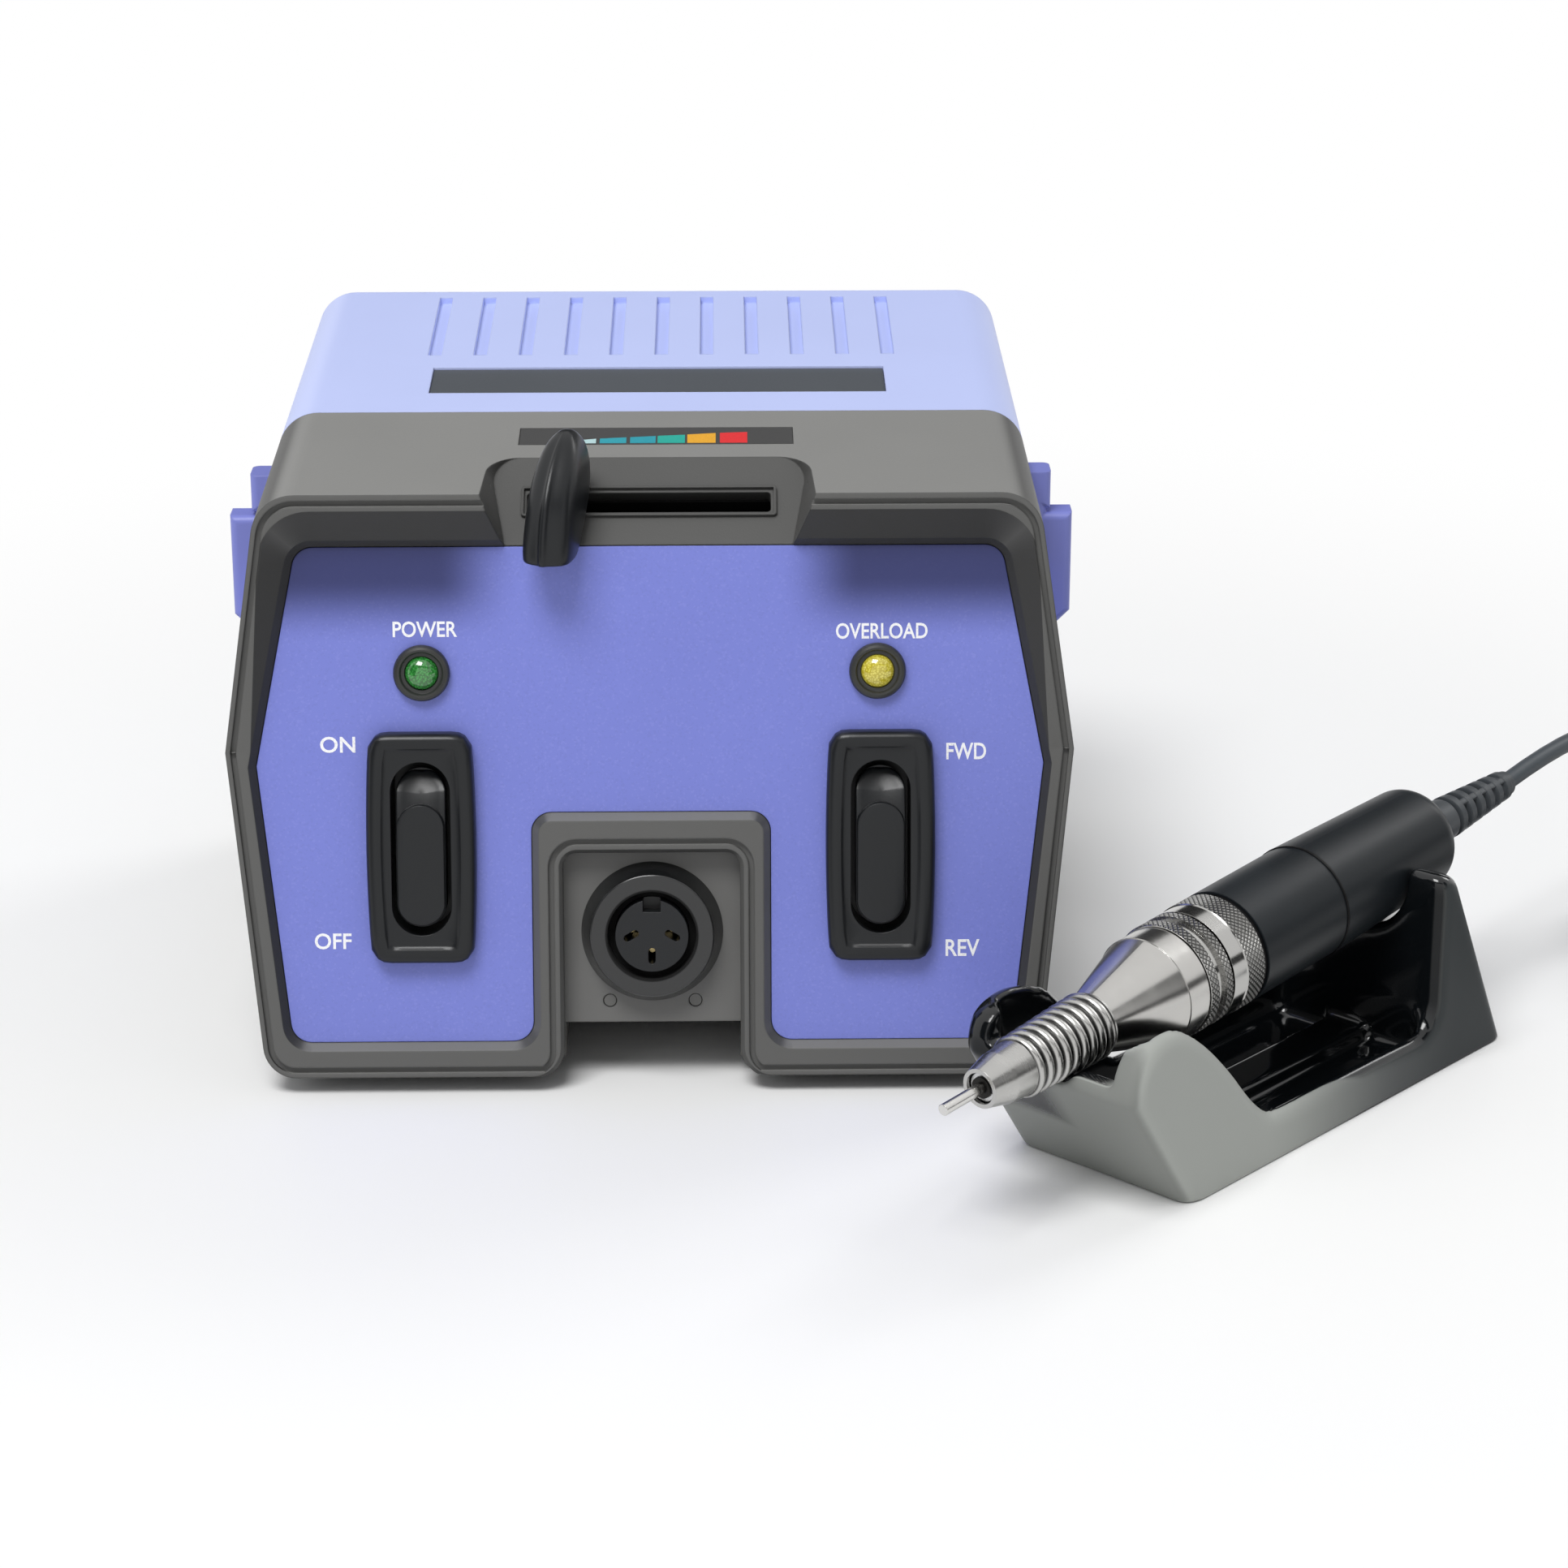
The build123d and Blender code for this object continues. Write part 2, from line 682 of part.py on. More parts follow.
# Speed lever: a fin outside, a stem through the slot, and the slider of the potentiometer
lever_x = -22.3  # at its low end
fin_thickness = 8.6
fin_lift = 1.4  # above the slope
fin_rear = 17.0  # up the slope
fin_front_y = 10.5
fin_bottom_z = 112.3
fin_top_y = 29.0
fin_top_z = 136.7
fin_bulge_y = 15.6
fin_bulge_z = 127.6
fin_back_y = 35.0
fin_back_z = 131.4
fin_foot_width = 12.4
fin_foot_height = 3.2
fin_round = 2.2
stem_length = 5.0
stem_thickness = 2.8
pot_length = 60.0
pot_width = 10.0
pot_depth = 9.0
pot_channel_width = 4.4
pot_channel_depth = 6.0
pot_slider_length = 9.0
pot_slider_depth = 3.0


def slope_point(along, above):
    """A point of the side view, so far up the scoop's slope and so far above it."""
    return (
        scoop_low_y + along * slope_cos - above * slope_sin,
        scoop_low_z + along * slope_sin + above * slope_cos,
    )


fin_heel = slope_point(0, fin_lift)
fin_back = slope_point(fin_rear, fin_lift)
with BuildPart() as speed_lever:
    with BuildSketch(side_view.offset(lever_x)):
        with BuildLine():
            Polyline((fin_front_y, fin_bottom_z), (fin_heel[0], fin_bottom_z), fin_heel, fin_back)
            ThreePointArc(fin_back, (fin_back_y, fin_back_z), (fin_top_y, fin_top_z))
            ThreePointArc((fin_top_y, fin_top_z), (fin_bulge_y, fin_bulge_z), (fin_front_y, fin_bottom_z))
        make_face()
    extrude(amount=fin_thickness / 2, both=True)
    curved = speed_lever.edges().filter_by(GeomType.CIRCLE)
    fillet(curved, fin_round)
    with BuildSketch(side_view.offset(lever_x)):
        with BuildLine():
            Polyline(
                fin_heel,
                fin_back,
                slope_point(fin_rear, fin_lift + fin_foot_height),
                slope_point(0, fin_lift + fin_foot_height),
                close=True,
            )
        make_face()
    extrude(amount=fin_foot_width / 2, both=True)
    with BuildSketch(slope_plane.offset(fin_lift)):
        with Locations((lever_x, slot_centre)):
            Rectangle(stem_length, stem_thickness)
    extrude(amount=-fin_lift - scoop_skin - pot_channel_depth + pot_slider_depth)

pot_top_plane = slope_plane.offset(-scoop_skin)
with BuildPart() as speed_potentiometer:
    with BuildSketch(pot_top_plane):
        with Locations((0, slot_centre)):
            Rectangle(pot_length, pot_width)
    extrude(amount=-pot_depth)
    with BuildSketch(pot_top_plane):
        with Locations((0, slot_centre)):
            Rectangle(slot_length + pot_slider_length - stem_length, pot_channel_width)
    extrude(amount=-pot_channel_depth, mode=Mode.SUBTRACT)

with BuildPart() as potentiometer_slider:
    with BuildSketch(pot_top_plane.offset(-pot_channel_depth + seam)):
        with Locations((lever_x, slot_centre)):
            Rectangle(pot_slider_length, pot_channel_width - 2 * slip)
    extrude(amount=pot_slider_depth - seam)

# Side brackets, into which the cradle can be hung on either side
bracket_front = 60.0
bracket_length = 8.0
bracket_round = 1.6
bracket_low = 83.4
bracket_step = 109.0
bracket_high = 118.1
bracket_depth = 8.2  # out from the wall, at the step
bracket_cap_depth = 4.8
bracket_chamfer = 3.4
bracket_slit = 0.9


def wall_x(height):
    """How far the upper side wall stands from the middle plane at a height."""
    return case_width / 2 - side_slope * (height - ridge_z)


bracket_out = wall_x(bracket_step) + bracket_depth
bracket_cap_out = wall_x(bracket_high) + bracket_cap_depth


def side_bracket(side):
    """One bracket, on its side's wall."""
    with BuildPart() as bracket:
        with BuildSketch(front_view.offset(-bracket_front)):
            with BuildLine():
                Polyline(
                    (side * wall_x(bracket_low), bracket_low),
                    (side * (bracket_out - bracket_chamfer), bracket_low),
                    (side * bracket_out, bracket_low + bracket_chamfer),
                    (side * bracket_out, bracket_step),
                    (side * (bracket_cap_out - bracket_slit), bracket_step),
                    (side * (bracket_cap_out - bracket_slit), bracket_step + bracket_slit),
                    (side * bracket_cap_out, bracket_step + bracket_slit),
                    (side * bracket_cap_out, bracket_high),
                    (side * wall_x(bracket_high), bracket_high),
                    close=True,
                )
            make_face()
        extrude(amount=-bracket_length)
        outer = bracket.edges().filter_by(
            lambda e: abs(e.center().X - box_x) > wall_x(e.center().Z) + bracket_cap_depth / 2
        )
        fillet(outer.filter_by(Axis.Y, reverse=True), bracket_round)
    return bracket


left_bracket = side_bracket(-1)
right_bracket = side_bracket(1)

# Feet and the screws that hold the two shells together
foot_radius = 8.0
foot_inset = 15.0
foot_x = case_bottom_width / 2 - foot_inset
foot_front_y = 36.0
foot_from_rear = 34.0
foot_rear_y = case_depth - foot_from_rear
foot_round = 1.0
screw_head_radius = 3.0
screw_head_height = 1.5
with BuildPart() as rubber_feet:
    with BuildSketch(floor_view):
        with Locations(*[(x, y) for x in (-foot_x, foot_x) for y in (foot_front_y, foot_rear_y)]):
            Circle(foot_radius)
    extrude(amount=foot_height)
    fillet(rubber_feet.faces().filter_by(Axis.Z).group_by(Axis.Z)[0].edges(), foot_round)

with BuildPart() as case_screws:
    with BuildSketch(floor_view.offset(foot_height + seam)):
        with Locations(*post_places):
            Circle(screw_head_radius)
    extrude(amount=screw_head_height)
    with BuildSketch(floor_view.offset(foot_height + seam + screw_head_height)):
        with Locations(*post_places):
            Circle(screw_core_radius - run)
    extrude(amount=screw_length - 2 * screw_head_height)

# Inside the box: transformer, circuit board and what stands on it
floor_top = foot_height + wall
core_x = 30.0
core_from_rear = 61.0
core_y = case_depth - core_from_rear
core_length = 50.0
core_width = 46.0
core_height = 42.0
core_leg = 16.0
core_yoke = 8.0
winding_wall = 6.6
board_x = -31.0
board_from_rear = 66.0
board_y = case_depth - board_from_rear
board_length = 54.0
board_width = 80.0
board_thickness = 1.6
board_height = 9.5  # above the floor of the case
standoff_radius = 3.0
standoff_inset = 5.0
capacitor_radius = 8.0
capacitor_height = 25.0
capacitor_x = -42.0
capacitor_from_rear = 82.0
capacitor_y = case_depth - capacitor_from_rear
capacitor_pitch = 18.5
sink_x = -16.0
sink_length = 44.0
sink_height = 26.0
sink_thickness = 3.0
fin_count = 6
fin_pitch = 7.6
fin_depth = 9.0
fin_wall = 1.4
core_floor_plane = floor_view.offset(floor_top)
core_window = (core_length - core_leg - 2 * core_yoke) / 2
with BuildPart() as transformer_core:
    with BuildSketch(core_floor_plane):
        with Locations((core_x, core_y)):
            Rectangle(core_length, core_width)
    extrude(amount=core_height)
    with BuildSketch(front_view.offset(-core_y)):
        with Locations((core_x, floor_top + core_height / 2)):
            with GridLocations(core_leg + core_window, 0, 2, 1):
                Rectangle(core_window, core_height - 2 * core_yoke)
    extrude(amount=core_width, both=True, mode=Mode.SUBTRACT)

with BuildPart() as transformer_winding:
    with BuildSketch(core_floor_plane.offset(core_yoke + slip)):
        with Locations((core_x, core_y)):
            RectangleRounded(
                core_leg + 2 * core_window - 2 * slip, core_width + 2 * winding_wall, winding_wall
            )
            Rectangle(core_leg + 2 * slip, core_width + 2 * slip, mode=Mode.SUBTRACT)
    extrude(amount=core_height - 2 * core_yoke - 2 * slip)

standoff_places = [
    (board_x + x, board_y + y)
    for x in (standoff_inset - board_length / 2, board_length / 2 - standoff_inset)
    for y in (standoff_inset - board_width / 2, board_width / 2 - standoff_inset)
]
board_plane = core_floor_plane.offset(board_height)
with BuildPart() as circuit_board:
    with BuildSketch(board_plane):
        with Locations((board_x, board_y)):
            Rectangle(board_length, board_width)
    extrude(amount=board_thickness)

parts_plane = board_plane.offset(board_thickness)
with BuildPart() as capacitors:
    with BuildSketch(parts_plane):
        with Locations((capacitor_x, capacitor_y), (capacitor_x, capacitor_y + capacitor_pitch)):
            Circle(capacitor_radius)
    extrude(amount=capacitor_height)

with BuildPart() as heat_sink:
    with BuildSketch(parts_plane):
        with Locations((sink_x, board_y)):
            Rectangle(sink_thickness, sink_length)
            with Locations((sink_thickness / 2 + fin_depth / 2, 0)):
                with GridLocations(0, fin_pitch, 1, fin_count):
                    Rectangle(fin_depth, fin_wall)
    extrude(amount=sink_height)

# Rear wall: mains inlet, fuse holder and the jack for a foot pedal
rear_fitting_height = 40.0
inlet_x = 34.0
inlet_width = 27.0
inlet_height = 19.8
inlet_flange = 3.4
inlet_flange_thickness = 2.0
inlet_corner = 3.0
inlet_depth = 24.0
inlet_wall = 1.9
inlet_recess = 16.0
inlet_pin_x = 7.0
inlet_pin_rise = 2.0
inlet_pin_width = 2.0
inlet_pin_height = 4.0
inlet_pin_length = 14.0
fuse_x = -10.0
fuse_radius = 6.2
fuse_flange_radius = 8.4
fuse_flange_thickness = 2.0
fuse_depth = 26.0
fuse_cap_radius = 5.6
fuse_cap_proud = 5.0
fuse_slot_width = 1.4
fuse_slot_depth = 1.2
jack_x = -46.0
jack_bore_radius = 3.2
jack_neck_radius = 4.6
jack_neck_proud = 4.0
jack_body = 15.0
jack_depth = 25.0
jack_bore_length = 24.0
jack_nut_radius = 7.0
jack_nut_thickness = 2.0
rear_view = Plane(origin=(box_x, box_y + case_depth, 0), x_dir=(1, 0, 0), z_dir=(0, -1, 0))
rear_inner_view = rear_view.offset(wall)
inlet_place = (inlet_x, rear_fitting_height)
fuse_place = (fuse_x, rear_fitting_height)
jack_place = (jack_x, rear_fitting_height)
with BuildPart() as mains_inlet:
    with BuildSketch(rear_view):
        with Locations(inlet_place):
            RectangleRounded(
                inlet_width + 2 * inlet_flange, inlet_height + 2 * inlet_flange, inlet_corner
            )
    extrude(amount=-inlet_flange_thickness)
    with BuildSketch(rear_view):
        with Locations(inlet_place):
            RectangleRounded(inlet_width, inlet_height, inlet_corner)
    extrude(amount=inlet_depth)
    with BuildSketch(rear_view.offset(-inlet_flange_thickness)):
        with Locations(inlet_place):
            RectangleRounded(
                inlet_width - 2 * inlet_wall, inlet_height - 2 * inlet_wall, inlet_corner - inlet_wall
            )
    extrude(amount=inlet_recess, mode=Mode.SUBTRACT)

inlet_end = inlet_recess - inlet_flange_thickness
with BuildPart() as inlet_pins:
    with BuildSketch(rear_view.offset(inlet_end)):
        with Locations(inlet_place):
            with Locations(
                (-inlet_pin_x, -inlet_pin_rise),
                (inlet_pin_x, -inlet_pin_rise),
                (0, inlet_pin_rise),
            ):
                Rectangle(inlet_pin_width, inlet_pin_height)
    extrude(amount=-inlet_pin_length)

with BuildPart() as fuse_holder:
    with BuildSketch(rear_view):
        with Locations(fuse_place):
            Circle(fuse_flange_radius)
    extrude(amount=-fuse_flange_thickness)
    with BuildSketch(rear_view):
        with Locations(fuse_place):
            Circle(fuse_radius)
    extrude(amount=fuse_depth)
    with BuildSketch(rear_view.offset(-fuse_flange_thickness)):
        with Locations(fuse_place):
            Circle(fuse_cap_radius - wall / 2)
    extrude(amount=fuse_depth, mode=Mode.SUBTRACT)

with BuildPart() as fuse_cap:
    with BuildSketch(rear_view.offset(-fuse_flange_thickness)):
        with Locations(fuse_place):
            Circle(fuse_cap_radius)
    extrude(amount=-fuse_cap_proud)
    with BuildSketch(rear_view.offset(-fuse_flange_thickness)):
        with Locations(fuse_place):
            Circle(fuse_cap_radius - wall / 2 - slip)
    extrude(amount=fuse_depth - fuse_flange_thickness)
    with BuildSketch(rear_view.offset(-fuse_flange_thickness - fuse_cap_proud)):
        with Locations(fuse_place):
            Rectangle(2 * fuse_cap_radius, fuse_slot_width)
    extrude(amount=fuse_slot_depth, mode=Mode.SUBTRACT)

with BuildPart() as pedal_jack:
    with BuildSketch(rear_inner_view):
        with Locations(jack_place):
            Rectangle(jack_body, jack_body)
    extrude(amount=jack_depth)
    with BuildSketch(rear_inner_view):
        with Locations(jack_place):
            Circle(jack_neck_radius)
    extrude(amount=-wall - jack_neck_proud)
    with BuildSketch(rear_view.offset(-jack_neck_proud)):
        with Locations(jack_place):
            Circle(jack_bore_radius)
    extrude(amount=jack_bore_length, mode=Mode.SUBTRACT)

with BuildPart() as jack_nut:
    with BuildSketch(rear_view):
        with Locations(jack_place):
            RegularPolygon(jack_nut_radius, 6)
            Circle(jack_neck_radius + slip, mode=Mode.SUBTRACT)
    extrude(amount=-jack_nut_thickness)

# The lower case's own standoffs, screw holes and rear openings
with BuildPart() as lower_case:
    add(lower_shell.part)
    with BuildSketch(core_floor_plane):
        with Locations(*standoff_places):
            Circle(standoff_radius)
    extrude(amount=board_height)
    with BuildSketch(floor_view.offset(foot_height)):
        with Locations(*post_places):
            Circle(screw_core_radius + slip)
    extrude(amount=wall, mode=Mode.SUBTRACT)
    with BuildSketch(floor_view.offset(foot_height)):
        with Locations(*post_places):
            Circle(screw_head_radius + slip)
    extrude(amount=screw_head_height + seam, mode=Mode.SUBTRACT)
    with BuildSketch(rear_view):
        with Locations(inlet_place):
            RectangleRounded(inlet_width + 2 * slip, inlet_height + 2 * slip, inlet_corner)
        with Locations(fuse_place):
            Circle(fuse_radius + slip)
        with Locations(jack_place):
            Circle(jack_neck_radius + slip)
    extrude(amount=wall, mode=Mode.SUBTRACT)

# Handpiece: turned pieces round one leaning axis, their places measured from its nose
hand_x = 63.9
hand_y = -68.9
hand_z = 32.2
hand_turn = 46.57  # degrees, its heading from +X, the cradle's too
hand_rise = 4.1  # degrees
shank_tip = -10.9
shank_end = 14.0
shank_radius = 1.175
shank_chamfer = 0.1
shank_stem_radius = 0.8  # thinner inside the collet
collet_front = 0.4
collet_end = 24.0
collet_radius = 2.2
spindle_front = 1.0
spindle_end = 143.0
spindle_radius = 3.0
nose_radius = 4.1
nose_swell_x = 5.5
nose_swell_radius = 5.4
nose_bore_radius = 3.25
bearing_radius = 4.4
front_bearing_start = 12.0
second_bearing_start = 45.4
bearing_width = 4.0
rib_start = 10.8
rib_pitch = 2.6
rib_count = 9
rib_width = 2.0
rib_first_radius = 6.5
rib_last_radius = 7.2
rib_depth = 0.7
sleeve_end = 55.0
sleeve_tail_radius = 5.2
cone_start = 34.6
cone_end = 51.7
cone_front_radius = 6.3
cone_rear_radius = 11.5
barrel_end = 57.8
barrel_radius = 11.7
ring_start = 58.0
ring_groove = 60.4
ring_groove_end = 62.9
ring_end = 65.2
ring_radius = 12.2
ring_chamfer = 0.3
ring_groove_depth = 0.8
spigot_radius = 8.0
spigot_bore_radius = 7.0
collar_start = 65.5
collar_band_end = 69.5
collar_end = 75.6
collar_radius = 12.4
collar_tail_end = 85.4
motor_bore_radius = 10.0
seal_end = 76.9
seal_radius = 11.9
grip_end = 104.4
grip_radius = 12.4
housing_end = 148.6
housing_radius = 12.6
housing_rear_radius = 11.4
housing_chamfer = 0.2
housing_round = 5.0
housing_round_share = 0.293
housing_end_wall = 2.5
bearing_web_start = 139.4
bearing_web_end = 142.4
bearing_web_radius = 6.0
relief_bore_radius = 5.0
relief_flange_radius = 8.0
relief_flange_thickness = 1.8
relief_smooth_end = 157.5
relief_rib_radius = 4.3
relief_rib_count = 6
relief_rib_pitch = 4.0
relief_rib_width = 2.4
relief_rib_depth = 1.0
relief_rib_step = 0.18
relief_collar_radius = 2.9
relief_end = 182.0
magnet_start = 88.4
magnet_end = 131.4
magnet_inner_radius = 7.6
armature_start = 90.4
armature_end = 129.4
armature_radius = 7.0
commutator_radius = 4.4
commutator_end = 137.4
brush_start = 132.9
brush_size = 4.0

heading = radians(hand_turn)
rise = radians(hand_rise)
hand_axis = (cos(rise) * cos(heading), cos(rise) * sin(heading), sin(rise))
hand_origin = (box_x + hand_x, box_y + hand_y, hand_z)
hand_plane = Plane(origin=hand_origin, x_dir=hand_axis, z_dir=(sin(heading), -cos(heading), 0))


def turned(points):
    """A piece turned round the handpiece's axis from a closed outline."""
    with BuildPart() as piece:
        with BuildSketch(hand_plane):
            with BuildLine():
                Polyline(*points, close=True)
            make_face()
        revolve(axis=Axis(hand_origin, hand_axis))
    return piece


def ring(start, end, inner, outer):
    """A plain ring round the handpiece's axis."""
    return turned([(start, inner), (end, inner), (end, outer), (start, outer)])


bit_shank = turned(
    [
        (shank_tip, 0),
        (shank_tip, shank_radius - shank_chamfer),
        (shank_tip + shank_chamfer, shank_radius),
        (0, shank_radius),
        (0, shank_stem_radius),
        (shank_end, shank_stem_radius),
        (shank_end, 0),
    ]
)
collet = turned(
    [
        (collet_front, shank_stem_radius),
        (collet_front, collet_radius),
        (collet_end, collet_radius),
        (collet_end, 0),
        (shank_end, 0),
        (shank_end, shank_stem_radius),
    ]
)
spindle_shaft = turned(
    [
        (spindle_front, collet_radius),
        (spindle_front, spindle_radius),
        (spindle_end, spindle_radius),
        (spindle_end, 0),
        (collet_end, 0),
        (collet_end, collet_radius),
    ]
)
armature = turned(
    [
        (armature_start, spindle_radius),
        (armature_start, armature_radius),
        (armature_end, armature_radius),
        (armature_end, commutator_radius),
        (commutator_end, commutator_radius),
        (commutator_end, spindle_radius),
    ]
)
motor_magnet = ring(magnet_start, magnet_end, magnet_inner_radius, motor_bore_radius)
seal_ring = ring(collar_end, seal_end, motor_bore_radius, seal_radius)

with BuildPart() as spindle_bearings:
    for start in (front_bearing_start, second_bearing_start):
        add(ring(start, start + bearing_width, spindle_radius + run, bearing_radius).part)
    add(ring(bearing_web_start, bearing_web_end, spindle_radius + run, bearing_web_radius).part)

# The nose with its ribs, each rib an arc
with BuildPart() as nose_sleeve:
    with BuildSketch(hand_plane):
        with BuildLine():
            Polyline(
                (rib_start, rib_first_radius - rib_depth),
                (nose_swell_x, nose_swell_radius),
                (0, nose_radius),
                (0, nose_bore_radius),
                (front_bearing_start, nose_bore_radius),
                (front_bearing_start, bearing_radius),
                (sleeve_end, bearing_radius),
                (sleeve_end, sleeve_tail_radius),
                (cone_start, sleeve_tail_radius),
                (cone_start, rib_last_radius - rib_depth),
                (rib_start + rib_count * rib_pitch, rib_last_radius - rib_depth),
            )
            rib_foot = (rib_start, rib_first_radius - rib_depth)
            for count in range(rib_count):
                along = rib_start + count * rib_pitch
                top = rib_first_radius + (rib_last_radius - rib_first_radius) * count / (rib_count - 1)
                foot = rib_foot[1]
                ThreePointArc(rib_foot, (along + rib_width / 2, top), (along + rib_width, foot))
                next_top = min(top + (rib_last_radius - rib_first_radius) / (rib_count - 1), rib_last_radius)
                rib_foot = (along + rib_pitch, next_top - rib_depth)
                Line((along + rib_width, foot), rib_foot)
        make_face()
    revolve(axis=Axis(hand_origin, hand_axis))

cone_sleeve = turned(
    [
        (cone_start, sleeve_tail_radius),
        (cone_start, cone_front_radius),
        (cone_end, cone_rear_radius),
        (cone_end, barrel_radius),
        (barrel_end, barrel_radius),
        (barrel_end, spigot_radius),
        (sleeve_end, spigot_radius),
        (sleeve_end, sleeve_tail_radius),
    ]
)
lock_ring = turned(
    [
        (ring_start, spigot_radius + run),
        (ring_start, ring_radius - ring_chamfer),
        (ring_start + ring_chamfer, ring_radius),
        (ring_groove, ring_radius),
        (ring_groove, ring_radius - ring_groove_depth),
        (ring_groove_end, ring_radius - ring_groove_depth),
        (ring_groove_end, ring_radius),
        (ring_end - ring_chamfer, ring_radius),
        (ring_end, ring_radius - ring_chamfer),
        (ring_end, spigot_radius + run),
    ]
)
knurled_collar = turned(
    [
        (sleeve_end, spigot_bore_radius),
        (sleeve_end, spigot_radius),
        (collar_start, spigot_radius),
        (collar_start, ring_radius),
        (collar_band_end, ring_radius),
        (collar_band_end + ring_chamfer, collar_radius),
        (collar_end - ring_chamfer, collar_radius),
        (collar_end, ring_radius),
        (collar_end, motor_bore_radius),
        (collar_tail_end, motor_bore_radius),
        (collar_tail_end, spigot_bore_radius),
    ]
)
front_grip = ring(seal_end, grip_end, motor_bore_radius, grip_radius)
with BuildPart() as rear_housing:
    with BuildSketch(hand_plane):
        with BuildLine():
            Polyline(
                (housing_end - housing_round, housing_rear_radius),
                (grip_end + housing_chamfer, housing_radius),
                (grip_end, housing_radius - housing_chamfer),
                (grip_end, motor_bore_radius),
                (bearing_web_start, motor_bore_radius),
                (bearing_web_start, bearing_web_radius),
                (bearing_web_end, bearing_web_radius),
                (bearing_web_end, relief_flange_radius + slip),
                (housing_end - housing_end_wall, relief_flange_radius + slip),
                (housing_end - housing_end_wall, relief_bore_radius),
                (housing_end, relief_bore_radius),
                (housing_end, housing_rear_radius - housing_round),
            )
            ThreePointArc(
                (housing_end - housing_round, housing_rear_radius),
                (
                    housing_end - housing_round * housing_round_share,
                    housing_rear_radius - housing_round * housing_round_share,
                ),
                (housing_end, housing_rear_radius - housing_round),
            )
        make_face()
    revolve(axis=Axis(hand_origin, hand_axis))

relief_outline = [
    (housing_end - housing_end_wall - relief_flange_thickness, 0),
    (housing_end - housing_end_wall - relief_flange_thickness, relief_flange_radius),
    (housing_end - housing_end_wall, relief_flange_radius),
    (housing_end - housing_end_wall, relief_bore_radius),
    (housing_end, relief_bore_radius),
    (relief_smooth_end, relief_rib_radius),
]
for count in range(relief_rib_count):
    along = relief_smooth_end + count * relief_rib_pitch
    top = relief_rib_radius - count * relief_rib_step
    relief_outline += [
        (along, top - relief_rib_depth),
        (along + relief_rib_pitch - relief_rib_width, top - relief_rib_depth),
        (along + relief_rib_pitch - relief_rib_width, top),
        (along + relief_rib_pitch, top - relief_rib_step),
    ]
relief_ribs_end = relief_smooth_end + relief_rib_count * relief_rib_pitch
relief_outline += [
    (relief_ribs_end, relief_collar_radius),
    (relief_end, relief_collar_radius),
    (relief_end, 0),
]
strain_relief = turned(relief_outline)

with BuildPart() as carbon_brushes:
    with BuildSketch(hand_plane):
        with Locations((brush_start, commutator_radius + run)):
            Rectangle(
                brush_size, motor_bore_radius - commutator_radius - run, align=(Align.MIN, Align.MIN)
            )
    revolve(axis=Axis(hand_origin, hand_axis))
    with BuildSketch(hand_plane):
        with Locations((brush_start, 0)):
            Rectangle(brush_size, 2 * housing_radius, align=(Align.MIN, Align.CENTER))
    extrude(amount=brush_size / 2, both=True, mode=Mode.INTERSECT)

# Cradle: a tub with two humps in front and two posts behind, under the handpiece
cradle_x = 90.95  # the middle of its front bottom edge
cradle_y = -40.34
cradle_half = 22.15
cradle_length = 113.3
cradle_wall = 3.5
cradle_floor = 3.0
overhang = 18.5
overhang_height = 27.0
hump_points = [  # over the humps, from their front
    (-17.6, 33.6),
    (-13.0, 38.5),
    (-6.5, 39.7),
    (0, 37.0),
    (8.3, 30.4),
    (16.4, 22.0),
    (23.5, 14.2),
]
hump_foot_x = 28.4
hump_foot_height = 10.6
low_wall_end = 85.6
low_wall_height = 9.8
post_top_x = 85.4
post_height = 45.3
post_rear_x = 92.0
post_rear_height = 43.2
front_wall_thickness = 4.85  # along the cradle
front_wall_height = 30.0
notch_radius = 7.5
notch_floor = 26.6
rail_half = 5.0
rail_front = 8.0
rail_height = 3.5
saddle_middle = 136.0  # along the handpiece
cradle_round = 3.5
hump_foot_round = 4.0
post_foot_round = 6.0
post_round = 2.2
hollow_round = 3.0
saddle_body_radius = 12.2  # of the housing where the posts begin

cradle_origin = (box_x + cradle_x, box_y + cradle_y, 0)
cradle_plane = Plane(
    origin=cradle_origin, x_dir=(cos(heading), sin(heading), 0), z_dir=(sin(heading), -cos(heading), 0)
)
cradle_cross = Plane(
    origin=cradle_origin, x_dir=(sin(heading), -cos(heading), 0), z_dir=(-cos(heading), -sin(heading), 0)
)
saddle_plane = Plane(
    origin=hand_plane.from_local_coords((saddle_middle, 0, 0)),
    x_dir=(sin(heading), -cos(heading), 0),
    z_dir=(-hand_axis[0], -hand_axis[1], -hand_axis[2]),
)
front_inner_low = front_wall_thickness - overhang * cradle_floor / overhang_height
front_inner_high = front_wall_thickness - overhang
with BuildPart() as cradle_hollow:
    with BuildSketch(cradle_plane):
        with BuildLine():
            Polyline(
                (front_inner_low, cradle_floor),
                (front_inner_high, overhang_height),
                (front_inner_high, 2 * post_height),
                (post_top_x, 2 * post_height),
                (post_top_x, cradle_floor),
                close=True,
            )
        make_face()
    extrude(amount=cradle_half - cradle_wall, both=True)
    fillet(cradle_hollow.edges().filter_by(lambda e: e.center().Z < 1.5 * post_height), hollow_round)

